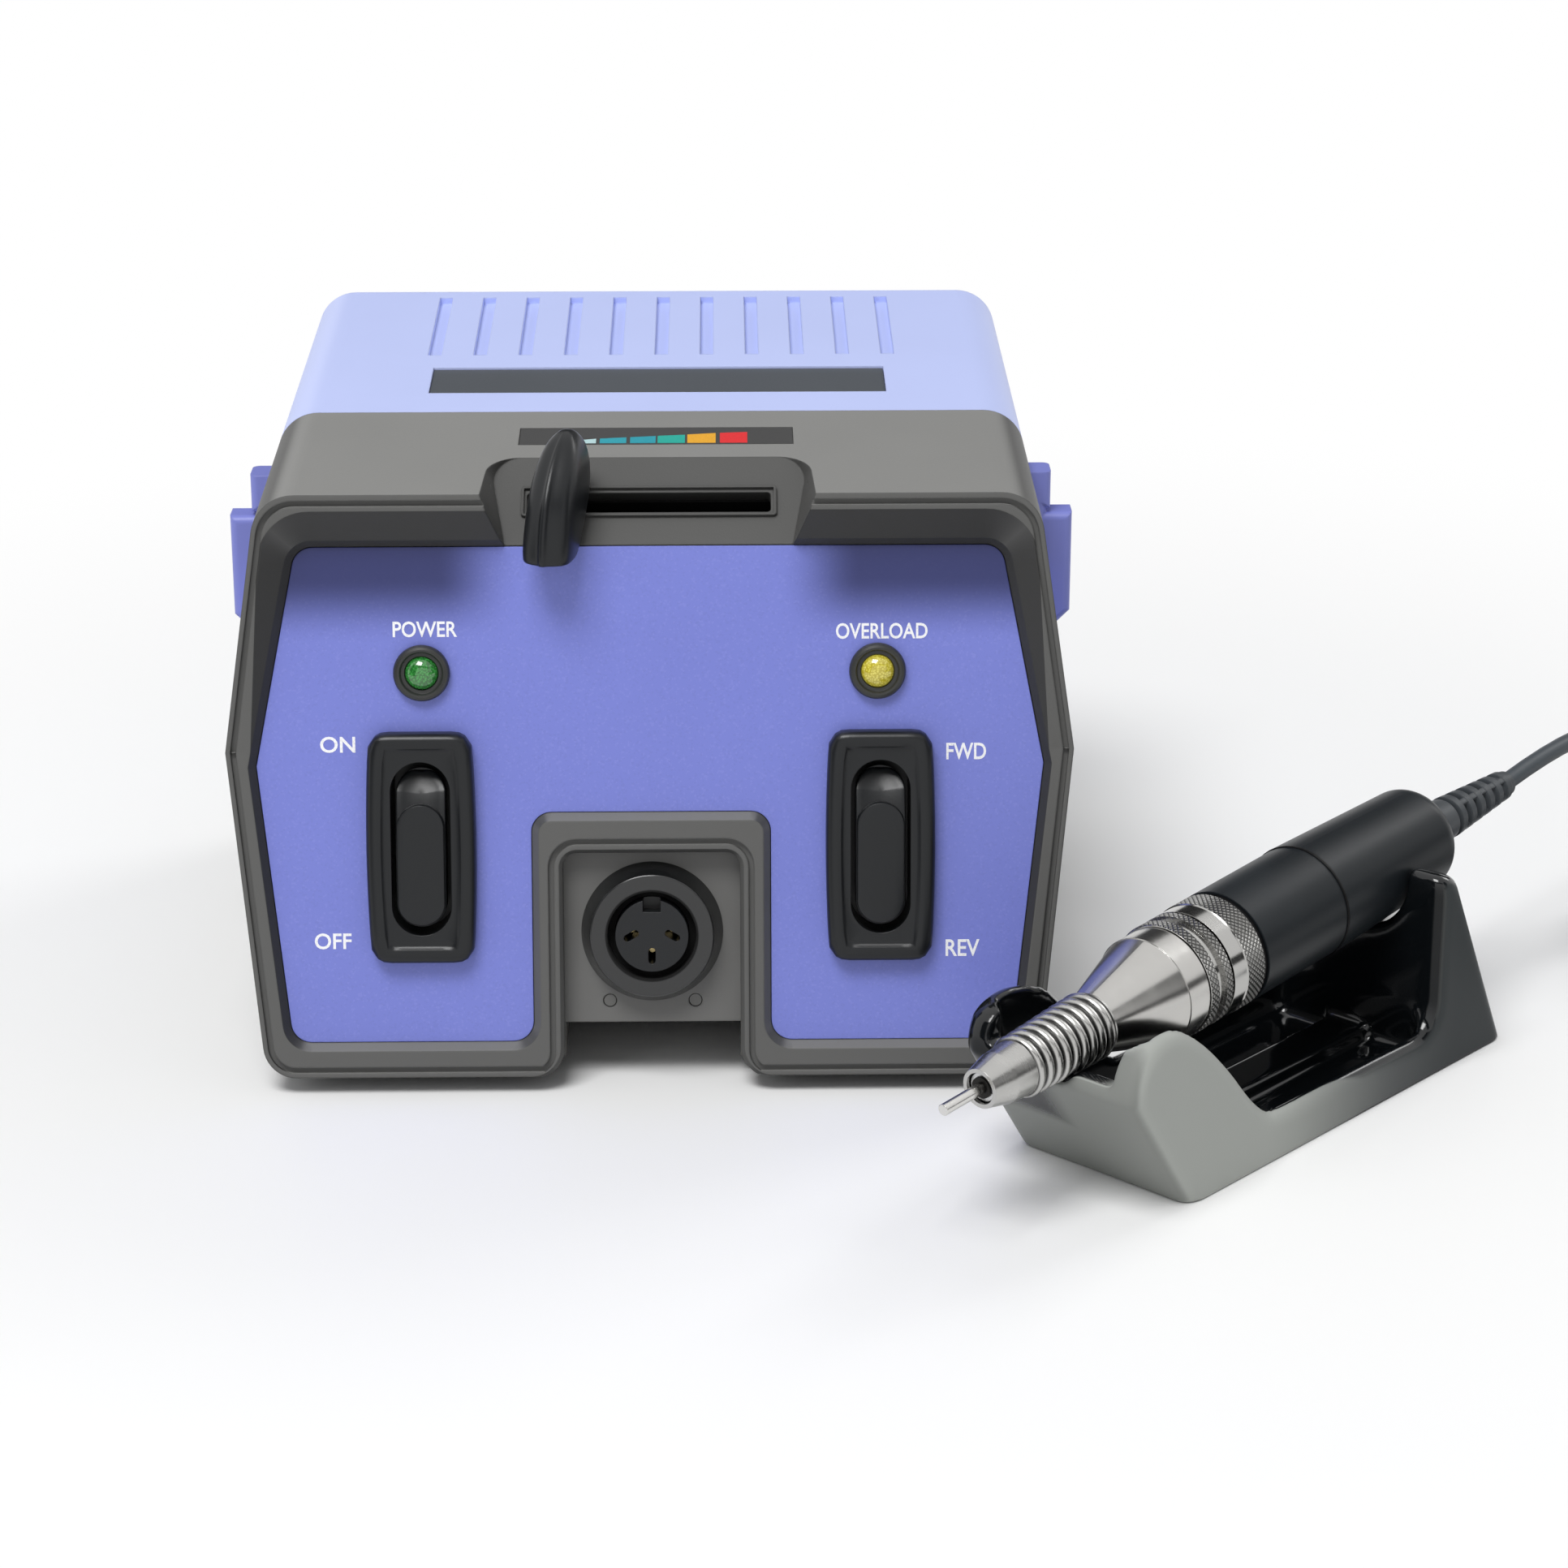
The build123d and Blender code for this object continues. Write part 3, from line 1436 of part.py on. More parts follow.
with BuildPart() as cradle:
    with BuildSketch(cradle_plane) as cradle_side:
        with BuildLine():
            Line((0, 0), (-overhang, overhang_height))
            Spline((-overhang, overhang_height), *hump_points, (hump_foot_x, hump_foot_height))
            Polyline(
                (hump_foot_x, hump_foot_height),
                (low_wall_end, low_wall_height),
                (post_top_x, post_height),
                (post_rear_x, post_rear_height),
                (cradle_length, 0),
                (0, 0),
            )
        make_face()
        hump_foot = cradle_side.vertices().sort_by_distance((hump_foot_x, hump_foot_height))[0]
        fillet(hump_foot, hump_foot_round)
        post_foot = cradle_side.vertices().sort_by_distance((low_wall_end, low_wall_height))[0]
        fillet(post_foot, post_foot_round)
        fillet(cradle_side.vertices().sort_by(Axis.Y)[-2:], post_round)
    extrude(amount=cradle_half, both=True)
    outer_faces = cradle.faces().sort_by(Axis(cradle_origin, cradle_plane.z_dir))
    outer_edges = outer_faces[0].edges() + outer_faces[-1].edges()
    fillet(outer_edges.filter_by(lambda e: e.center().Z > seam), cradle_round)
    add(cradle_hollow.part, mode=Mode.SUBTRACT)
    with BuildSketch(cradle_plane):
        with Locations((-2 * overhang, front_wall_height)):
            Rectangle(
                2 * overhang + front_inner_high + hollow_round,
                post_height,
                align=(Align.MIN, Align.MIN),
            )
    extrude(amount=cradle_half - cradle_wall - hollow_round, both=True, mode=Mode.SUBTRACT)
    with BuildSketch(cradle_cross):
        with Locations((0, notch_floor + notch_radius)):
            Circle(notch_radius)
            Rectangle(2 * notch_radius, post_height, align=(Align.CENTER, Align.MIN))
    extrude(amount=2 * overhang, mode=Mode.SUBTRACT)
    with BuildSketch(saddle_plane):
        Circle(saddle_body_radius + seat_gap)
        Rectangle(2 * (saddle_body_radius + seat_gap), post_height, align=(Align.CENTER, Align.MIN))
    extrude(amount=saddle_middle / 4, both=True, mode=Mode.SUBTRACT)
    with BuildSketch(cradle_plane):
        with Locations((rail_front, cradle_floor)):
            Rectangle(low_wall_end - rail_front, rail_height, align=(Align.MIN, Align.MIN))
    extrude(amount=rail_half, both=True)

# The handpiece's cord: a free stretch, the coil that the rest is put away in, and the
# tail from the coil to the plug
cord_radius = 2.0
cord_lead = 26.0  # the first run, straight out of the handpiece
free_points = [
    (226.0, 105.0, 43.5),
    (254.0, 114.0, 25.0),
    (282.0, 92.0, 8.0),
    (291.5, 56.0, 3.0),
    (291.5, 24.0, 3.0),
]
bend_share = 0.45
coil_x = 262.0
coil_y = 20.0
coil_low = 3.0  # height of the lower layer's middle
coil_rise = 4.5
coil_outer = 29.5  # radius of the first half turn
coil_step = 2.3  # smaller with each half turn
coil_halves = 6  # on each layer
coil_lead = 4.0  # straight at either end
tail_points = [(0, 13.0, 0), (-2.5, 26.0, 3.5), (-2.5, 38.0, 3.5)]  # from the coil's end
plug_length = 34.0
tie_width = 6.0
tie_thickness = 0.8
tie_inner = 14.9  # from the coil's middle
tie_outer = 29.6
tie_gap = 0.2


def placed(point):
    """A point given from the box, in the whole set's frame."""
    return Vector(box_x + point[0], box_y + point[1], point[2])


def cord_radii(points):
    """Each bend's radius: a share of the shorter of its two runs."""
    radii = []
    for before, corner, after in zip(points, points[1:], points[2:]):
        first = corner - before
        second = after - corner
        turn = radians(first.get_angle(second))
        radii.append(bend_share * min(first.length, second.length) / tan(turn / 2))
    return radii


def cord_tube(line, heading_start):
    """A tube along a line, its section square to the line's start."""
    with BuildPart() as tube:
        with BuildSketch(Plane(origin=line @ 0, z_dir=heading_start)):
            Circle(cord_radius)
        sweep(path=line)
    print("tube length", line.length, "volume over section", tube.part.volume / pi / cord_radius**2)
    return tube


free_route = [hand_plane.from_local_coords((relief_end + along, 0, 0)) for along in (0, cord_lead)]
free_route += [placed(point) for point in free_points]
print("free stretch radii", cord_radii(free_route))
with BuildLine() as free_line:
    FilletPolyline(*free_route, radius=cord_radii(free_route))
handpiece_cord = cord_tube(free_line.wires()[0], free_route[1] - free_route[0])

with BuildLine() as coil_line:
    start = placed((coil_x + coil_outer, coil_y, coil_low))
    Line(start + Vector(0, coil_lead, 0), start)
    side = -1
    radius = coil_outer
    height = coil_low
    for count in range(2 * coil_halves + 1):
        lift = coil_rise if count == coil_halves else 0
        end = start + Vector(2 * side * radius, 0, lift)
        reach = hypot(radius, lift / 2)
        ThreePointArc(start, (start + end) / 2 + Vector(0, side * reach, 0), end)
        start = end
        side = -side
        radius += -coil_step if count < coil_halves else coil_step
    Line(start, start + Vector(0, coil_lead, 0))
coil_wire = coil_line.wires()[0]
coil_end = start + Vector(0, coil_lead, 0)
cord_coil = cord_tube(coil_wire, (0, -1, 0))
marks = 1200
places = [coil_wire @ (count / marks) for count in range(marks + 1)]
apart = int(marks * 8 * cord_radius / coil_wire.length)
least = min(
    (places[a] - places[b]).length for a in range(marks) for b in range(a + apart, marks + 1)
)
print("coil self-gap", least - 2 * cord_radius)

tail_route = [coil_end] + [coil_end + Vector(*p) for p in tail_points]
print("tail radii", cord_radii(tail_route))
with BuildLine() as tail_line:
    FilletPolyline(*tail_route, radius=cord_radii(tail_route))
cord_tail = cord_tube(tail_line.wires()[0], (0, 1, 0))

# The tie round the coil, across its far side
with BuildPart() as cord_tie:
    with BuildSketch(side_view.offset(coil_x - tie_width / 2)):
        with Locations((coil_y + tie_inner, coil_low - cord_radius - tie_gap)):
            Rectangle(
                tie_outer - tie_inner,
                coil_rise + 2 * cord_radius + 2 * tie_gap,
                align=(Align.MIN, Align.MIN),
            )
        offset(amount=tie_thickness)
        with Locations((coil_y + tie_inner, coil_low - cord_radius - tie_gap)):
            Rectangle(
                tie_outer - tie_inner,
                coil_rise + 2 * cord_radius + 2 * tie_gap,
                align=(Align.MIN, Align.MIN),
                mode=Mode.SUBTRACT,
            )
    extrude(amount=tie_width)

# The cord's plug, made to go into the box's socket
plug_body_radius = 11.0
plug_neck_radius = 4.2
plug_shoulder_radius = 9.0
plug_shoulder = 7.0
plug_front_chamfer = 1.0
plug_shell_inner = 7.9
plug_shell_outer = 9.1
plug_shell_length = 7.0
plug_face_depth = 4.5  # of the insulator inside the shell
plug_pin_length = 6.0
plug_pin_base = 10.0
plug_shoulder_end = 12.0
plug_start = tail_route[-1]
plug_plane = Plane(origin=plug_start, x_dir=(0, 1, 0), z_dir=(1, 0, 0))
plug_axis = Axis(plug_start, (0, 1, 0))
with BuildPart() as plug_body:
    with BuildSketch(plug_plane):
        with BuildLine():
            Polyline(
                (0, 0),
                (0, plug_neck_radius),
                (plug_shoulder, plug_shoulder_radius),
                (plug_shoulder_end, plug_body_radius),
                (plug_length - plug_front_chamfer, plug_body_radius),
                (plug_length, plug_body_radius - plug_front_chamfer),
                (plug_length, plug_shell_outer),
                (plug_length - plug_face_depth, plug_shell_outer),
                (plug_length - plug_face_depth, 0),
                close=True,
            )
        make_face()
    revolve(axis=plug_axis)
    with BuildSketch(Plane(origin=plug_start, x_dir=(1, 0, 0), z_dir=(0, 1, 0)).offset(plug_length)):
        for turn in (0, 180, 90):
            with Locations((pin_slot_circle * cos(radians(turn)), pin_slot_circle * sin(radians(turn)))):
                Circle(contact_radius)
    extrude(amount=-plug_pin_base, mode=Mode.SUBTRACT)

with BuildPart() as plug_shell:
    with BuildSketch(plug_plane):
        with Locations((plug_length - plug_face_depth, plug_shell_inner)):
            Rectangle(
                plug_face_depth + plug_shell_length,
                plug_shell_outer - plug_shell_inner,
                align=(Align.MIN, Align.MIN),
            )
    revolve(axis=plug_axis)

with BuildPart() as plug_pins:
    with BuildSketch(
        Plane(origin=plug_start, x_dir=(1, 0, 0), z_dir=(0, 1, 0)).offset(plug_length - plug_pin_base)
    ):
        for turn in (0, 180, 90):
            with Locations((pin_slot_circle * cos(radians(turn)), pin_slot_circle * sin(radians(turn)))):
                Circle(contact_radius)
    extrude(amount=plug_pin_base + plug_pin_length)

pieces = {
    "front_bezel": front_bezel,
    "speed_scale": speed_scale,
    "front_panel": front_panel,
    "top_cover": top_cover,
    "top_strip": top_strip,
    "lower_case": lower_case,
    "socket_plate": socket_plate,
    "socket_shell": socket_shell,
    "socket_core": socket_core,
    "socket_contacts": socket_contacts,
    "socket_nut": socket_nut,
    "socket_plate_screws": socket_plate_screws,
    "power_switch": power_switch,
    "direction_switch": direction_switch,
    "power_rocker": power_rocker,
    "direction_rocker": direction_rocker,
    "lamp_holders": lamp_holders,
    "power_lens": power_lens,
    "overload_lens": overload_lens,
    "speed_lever": speed_lever,
    "speed_potentiometer": speed_potentiometer,
    "potentiometer_slider": potentiometer_slider,
    "left_bracket": left_bracket,
    "right_bracket": right_bracket,
    "rubber_feet": rubber_feet,
    "case_screws": case_screws,
    "transformer_core": transformer_core,
    "transformer_winding": transformer_winding,
    "circuit_board": circuit_board,
    "capacitors": capacitors,
    "heat_sink": heat_sink,
    "mains_inlet": mains_inlet,
    "inlet_pins": inlet_pins,
    "fuse_holder": fuse_holder,
    "fuse_cap": fuse_cap,
    "pedal_jack": pedal_jack,
    "jack_nut": jack_nut,
    "bit_shank": bit_shank,
    "collet": collet,
    "spindle_shaft": spindle_shaft,
    "armature": armature,
    "motor_magnet": motor_magnet,
    "spindle_bearings": spindle_bearings,
    "nose_sleeve": nose_sleeve,
    "cone_sleeve": cone_sleeve,
    "lock_ring": lock_ring,
    "knurled_collar": knurled_collar,
    "seal_ring": seal_ring,
    "front_grip": front_grip,
    "rear_housing": rear_housing,
    "carbon_brushes": carbon_brushes,
    "strain_relief": strain_relief,
    "cradle": cradle,
    "handpiece_cord": handpiece_cord,
    "cord_coil": cord_coil,
    "cord_tail": cord_tail,
    "cord_tie": cord_tie,
    "plug_body": plug_body,
    "plug_shell": plug_shell,
    "plug_pins": plug_pins,
}
for name, piece in pieces.items():
    piece.part.label = name
    export_step(piece.part, f"parts/{name}.step")
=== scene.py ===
import json
from math import cos, sin, pi, radians, atan2

import bpy
from mathutils import Matrix, Vector


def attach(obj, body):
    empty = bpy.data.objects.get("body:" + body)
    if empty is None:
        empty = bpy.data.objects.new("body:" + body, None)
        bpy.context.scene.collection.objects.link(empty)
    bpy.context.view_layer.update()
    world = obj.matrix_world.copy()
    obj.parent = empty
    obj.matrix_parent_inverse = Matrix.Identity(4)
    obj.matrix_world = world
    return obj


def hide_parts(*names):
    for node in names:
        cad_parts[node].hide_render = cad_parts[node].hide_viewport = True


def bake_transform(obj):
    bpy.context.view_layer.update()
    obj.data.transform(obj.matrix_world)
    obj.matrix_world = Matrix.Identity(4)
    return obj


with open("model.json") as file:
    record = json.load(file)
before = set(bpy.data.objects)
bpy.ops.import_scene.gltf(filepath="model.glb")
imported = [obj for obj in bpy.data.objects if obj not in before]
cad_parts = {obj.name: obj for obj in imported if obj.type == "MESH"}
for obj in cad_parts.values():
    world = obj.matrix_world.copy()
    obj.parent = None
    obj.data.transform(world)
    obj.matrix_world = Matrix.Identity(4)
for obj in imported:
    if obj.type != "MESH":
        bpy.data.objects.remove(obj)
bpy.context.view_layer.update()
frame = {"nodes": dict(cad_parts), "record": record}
nodes = frame["nodes"]
print("frame loaded,", len(nodes), "nodes")

# Places that the pieces share, in metres in the frame of the CAD part
boxMiddle, boxFront, footHeight = -0.0505, -0.0477, 0.004
frontLean, topRise = radians(11.0), radians(3.5)
topEdge = Vector((boxMiddle, boxFront + 0.01839, 0.12578))
handTurn, handRise = radians(46.57), radians(4.1)
handOrigin = Vector((0.0134, -0.1166, 0.0322))
handAxis = Vector((cos(handRise) * cos(handTurn), cos(handRise) * sin(handTurn), sin(handRise)))
handSide = Vector((sin(handTurn), -cos(handTurn), 0.0))
handUp = handSide.cross(handAxis)
cradleFront = Vector((0.04045, -0.08804, 0.0))
cradleAxis = Vector((cos(handTurn), sin(handTurn), 0.0))
panelRight, panelUp = (1.0, 0.0, 0.0), (0.0, sin(frontLean), cos(frontLean))
panelOut = (0.0, -cos(frontLean), sin(frontLean))
upwards = (0.0, 0.0, 1.0)


def onPanel(x, up, out):  # x from the middle, up the slope, out of the front plane
    return Vector((
        boxMiddle + x,
        boxFront + up * sin(frontLean) - out * cos(frontLean),
        footHeight + up * cos(frontLean) + out * sin(frontLean),
    ))


def onTop(x, back, out):  # back from the top's front edge
    inwards = back * cos(topRise) - out * sin(topRise)
    return topEdge + Vector((x, inwards, back * sin(topRise) + out * cos(topRise)))


# Camera
view = {"lens": 91.3, "place": (-0.0355, -0.8108, 0.3516), "tilt": 69.7, "turn": -0.94}

bpy.ops.object.camera_add(
    location=view["place"], rotation=(radians(view["tilt"]), 0.0, radians(view["turn"]))
)
camera = bpy.context.object
camera.name = "camera"
camera.data.lens = view["lens"]
camera.data.sensor_width = 36.0
camera.data.clip_end = 50.0
bpy.context.scene.camera = camera
print("camera set")


# Finishes: a wire is a socket that sums can be written with
class Wire:
    def __init__(self, finish, socket):
        self.finish = finish
        self.socket = socket

    def __add__(self, other):
        return self.finish.maths("ADD", self, other)

    __radd__ = __add__

    def __sub__(self, other):
        return self.finish.maths("SUBTRACT", self, other)

    def __rsub__(self, other):
        return self.finish.maths("SUBTRACT", other, self)

    def __mul__(self, other):
        return self.finish.maths("MULTIPLY", self, other)

    __rmul__ = __mul__

    def __truediv__(self, other):
        return self.finish.maths("DIVIDE", self, other)

    def __gt__(self, other):
        return self.finish.maths("GREATER_THAN", self, other)

    def __lt__(self, other):
        return self.finish.maths("LESS_THAN", self, other)


class Finish:
    def __init__(self, name):
        self.material = bpy.data.materials.new(name)
        self.material.use_nodes = True
        self.tree = self.material.node_tree
        self.tree.nodes.clear()
        self.end = self.tree.nodes.new("ShaderNodeOutputMaterial")
        self.shader = self.tree.nodes.new("ShaderNodeBsdfPrincipled")
        self.tree.links.new(self.shader.outputs[0], self.end.inputs["Surface"])
        self.place = self.node("TexCoord", out="Object")

    def plug(self, socket, value):
        if isinstance(value, Wire):
            self.tree.links.new(value.socket, socket)
        elif isinstance(value, (tuple, list)) and len(value) == 3 and socket.type == "RGBA":
            socket.default_value = (*value, 1.0)
        else:
            socket.default_value = value

    def node(self, kind, settings=None, values=None, out=0):
        made = self.tree.nodes.new("ShaderNode" + kind)
        for name, value in (settings or {}).items():
            setattr(made, name, value)
        for name, value in (values or {}).items():
            self.plug(made.inputs[name], value)
        return Wire(self, made.outputs[out])

    def maths(self, operation, first, second=0.0):
        return self.node("Math", {"operation": operation}, {0: first, 1: second})

    def larger(self, first, second):
        return self.maths("MAXIMUM", first, second)

    def away(self, origin):
        return self.node("VectorMath", {"operation": "SUBTRACT"}, {0: self.place, 1: tuple(origin)})

    def dot(self, vector, direction):
        return self.node(
            "VectorMath", {"operation": "DOT_PRODUCT"}, {0: vector, 1: tuple(direction)}, out="Value"
        )

    def smooth(self, value, low, high, start=0.0, end=1.0):
        return self.node(
            "MapRange", {"interpolation_type": "SMOOTHSTEP"},
            {"Value": value, "From Min": low, "From Max": high, "To Min": start, "To Max": end},
        )

    def fading(self, value, low, high):
        return self.smooth(value, low, high, 1.0, 0.0)

    def mix(self, amount, first, second):
        return self.node("Mix", {"data_type": "RGBA"}, {0: amount, 6: first, 7: second}, out=2)

    def noise(self, size, detail=2.0, vector=None):
        return self.node(
            "TexNoise", {},
            {"Vector": vector or self.place, "Scale": 1.0 / size, "Detail": detail},
        )

    def set(self, **values):
        for name, value in values.items():
            self.plug(self.shader.inputs[shaderSockets[name]], value)

    def relief(self, height, depth, strength=1.0, edge=0.0):
        values = {"Height": height, "Distance": depth, "Strength": strength}
        if edge:
            values["Normal"] = self.node("Bevel", {"samples": 4}, {"Radius": edge})
        self.set(normal=self.node("Bump", {}, values))


shaderSockets = {
    "colour": "Base Color", "rough": "Roughness", "metal": "Metallic", "normal": "Normal",
    "coat": "Coat Weight", "coatRough": "Coat Roughness", "gloss": "Specular IOR Level",
    "glow": "Emission Color", "glowing": "Emission Strength",
}


def scaled(colour, by):
    return tuple(min(c * by, 1.0) for c in colour)


# Painted shade on the bezel: the share of the top's light that its other faces keep in their colour, how they
# have to lean for it, and where its scoop ends
bezelPaintedShading = {
    "upright": 0.46, "steep": 0.66, "hidden": 0.32, "inScoop": 0.55, "scoopHalf": (0.036, 0.039),
    "topLean": (0.8, 0.98), "steepLean": (0.3, 0.6), "inwardLean": (0.25, 0.6), "downLean": (-0.5, -0.1),
}


def shaded(made, colour, lit, v):  # painted shade, darkest on the faces that look in or down
    shape = made.node("NewGeometry", out="Normal")
    facing = made.dot(shape, upwards)
    across = made.dot(made.place, panelRight) - boxMiddle
    inward = 0.0 - made.maths("SIGN", across) * made.dot(shape, panelRight)
    upright = scaled(colour, v["upright"])
    steep = scaled(colour, v["upright"] * v["steep"])
    base = made.mix(made.smooth(facing, *v["steepLean"]), upright, steep)
    base = made.mix(made.smooth(facing, *v["topLean"]), base, lit)
    outside = made.smooth(made.maths("ABSOLUTE", across), *v["scoopHalf"], v["inScoop"], 1.0)
    down = made.fading(facing, *v["downLean"])
    hidden = made.larger(made.smooth(inward, *v["inwardLean"]) * outside, down)
    return made.mix(hidden, base, scaled(colour, v["upright"] * v["hidden"]))


def moulded(name, colour, rough, grain=0.0005, depth=0.00002, shade=0.05, edge=0.0003, paintedShading=None, **more):
    made = Finish(name)
    fine = made.noise(grain, 3.0)
    broad = made.noise(0.03, 3.0)
    base = made.mix(broad, scaled(colour, 1 - shade), scaled(colour, 1 + shade))
    # painted shade on the faces, by how they lean
    if paintedShading:
        base = shaded(made, colour, base, paintedShading)
    made.set(colour=base, rough=rough - 0.06 + fine * 0.08 + broad * 0.05, **more)
    made.relief(fine, depth, 0.6, edge)
    return made


def alongHand(made):
    away = made.away(handOrigin)
    return made.dot(away, handAxis), made.maths("ARCTAN2", made.dot(away, handUp), made.dot(away, handSide))


# The polished metal's turning marks and smears, and the painted shade in the grooves between its ribs, in
# shares of their pitch
polishedLook = {
    "marks": 0.00012, "marksTurn": 0.00003, "marksDepth": 0.000003, "smear": 0.004, "smearShade": 0.93,
    "paintedGrooveShade": 0.12, "grooveStarts": (0.68, 0.84), "grooveEnds": (0.0, 0.1),
}


def polished(name, colour, rough, v, ribs=None):  # ribs: where they start, their pitch, where they end
    made = Finish(name)
    along, angle = alongHand(made)
    place = made.node("CombineXYZ", {}, {0: along, 1: angle * v["marksTurn"]})
    turned = made.noise(v["marks"], 2.0, place)
    smear = made.noise(v["smear"], 3.0)
    base = made.mix(smear, scaled(colour, v["smearShade"]), colour)
    if ribs:
        start, pitch, end = ribs
        within = made.maths("FRACT", (along - start) / pitch)
        groove = made.larger(made.smooth(within, *v["grooveStarts"]), made.fading(within, *v["grooveEnds"]))
        # painted shade darkens the grooves between the ribs
        base = made.mix(groove * (along > start) * (along < end), base, scaled(colour, v["paintedGrooveShade"]))
    made.set(colour=base, metal=1.0, rough=rough + turned * 0.1 + made.smooth(smear, 0.45, 0.75) * 0.05)
    made.relief(turned, v["marksDepth"], 0.5, 0.00015)
    return made


# The knurls: their radius on the handpiece, how deep they are cut, and the painted shade in their valleys
knurlLook = {"radius": 0.0123, "depth": 0.0003, "valley": (0.05, 0.55), "body": 0.7, "paintedGrooveShade": 0.06}


def knurled(name, colour, bands, count, v):  # bands along the handpiece, count of points round it
    made = Finish(name)
    along, angle = alongHand(made)
    here = 0.0
    for start, end in bands:
        here = (along > start) * (along < end) + here
    pitch = 2 * pi * v["radius"] / count
    across = angle * (count / 2.0)
    slant = along * (pi / pitch)
    left = made.maths("ABSOLUTE", made.maths("SINE", across + slant))
    right = made.maths("ABSOLUTE", made.maths("SINE", across - slant))
    point = made.maths("MINIMUM", left, right)
    valley = made.smooth(point, *v["valley"])
    points = made.mix(here, colour, scaled(colour, v["body"]))
    # painted shade darkens the knurls' valleys
    shine = made.mix(here * (1 - valley), points, scaled(colour, v["paintedGrooveShade"]))
    made.set(colour=shine, metal=1.0, rough=0.14 + here * 0.16)
    made.relief(point * here, v["depth"], 1.0, 0.0001)
    return made


# The panel's flakes, and a painted shadow under the box's overhang outside the scoop
panelLook = {
    "flakes": 2600.0, "paleFlake": (0.42, 0.44, 0.86), "paleShare": 0.09, "darkFlake": 0.7, "darkShare": 0.14,
    "shade": (0.012, 0.016, 0.085), "shadeShare": 0.9, "shadeUp": (0.086, 0.1), "shadeOut": (0.026, 0.044),
}


def panelFinish(name, colour, v):
    made = Finish(name)
    flake = made.node("TexVoronoi", {}, {"Vector": made.place, "Scale": v["flakes"]}, out="Color")
    bright = made.node("SeparateColor", {}, {"Color": flake})
    fine = made.noise(0.0006, 3.0)
    broad = made.noise(0.04, 2.0)
    base = made.mix(broad, scaled(colour, 0.95), scaled(colour, 1.05))
    base = made.mix((bright > 0.9) * v["paleShare"], base, v["paleFlake"])
    base = made.mix((bright < 0.12) * v["darkShare"], base, scaled(colour, v["darkFlake"]))
    # painted shadow: darker near the top edge under the overhang, except below the scoop
    sideways = made.maths("ABSOLUTE", made.dot(made.place, panelRight) - boxMiddle)
    under = made.smooth(made.dot(made.place, panelUp), *v["shadeUp"])
    base = made.mix(under * made.smooth(sideways, *v["shadeOut"]) * v["shadeShare"], base, v["shade"])
    made.set(colour=base, rough=0.36 + fine * 0.12, gloss=0.45)
    made.relief(fine, 0.00003, 0.5, 0.0003)
    return made


def rubbed(name, colour, rough, gloss=0.28):
    made = Finish(name)
    fine = made.noise(0.0003, 4.0)
    worn = made.smooth(made.noise(0.02, 4.0), 0.45, 0.7)
    base = made.mix(worn, colour, scaled(colour, 1.25))
    made.set(colour=base, rough=rough - 0.05 + fine * 0.1 + worn * 0.04, gloss=gloss)
    made.relief(fine, 0.00002, 0.6, 0.0004)
    return made


# The cradle shades off from its nose to its rear and is black outside. Each zone has its stretch along
# the cradle, across it or up, and Lean says how its faces have to be turned
cradleLook = {
    "pale": (0.39, 0.405, 0.38), "middle": (0.1, 0.106, 0.106), "dark": (0.032, 0.037, 0.039),
    "black": (0.004, 0.005, 0.006), "paleEnds": (0.025, 0.076), "darkStarts": (0.06, 0.095),
    # painted shade on the faces that look towards the nose
    "shadedFrontLean": (0.4, 0.75), "shadedFrontShare": 0.75, "shadedFrontPale": 0.45,
    "flankLean": (0.0, 0.28), "flankLow": (0.045, 0.06, 0.1, 0.7), "flankOut": (0.015, 0.018),
    "farFlank": (0.03, 0.05),
    "noseLean": (0.15, 0.5), "noseLong": (0.0, 0.02), "noseAcross": (-0.006, 0.002), "noseUp": (0.013, 0.017),
    "crownLean": (0.1, 0.5), "crownOut": (0.012, 0.0165), "crownEnds": (0.015, 0.028),
    "coat": 0.7, "coatLean": (-0.2, 0.5),
}


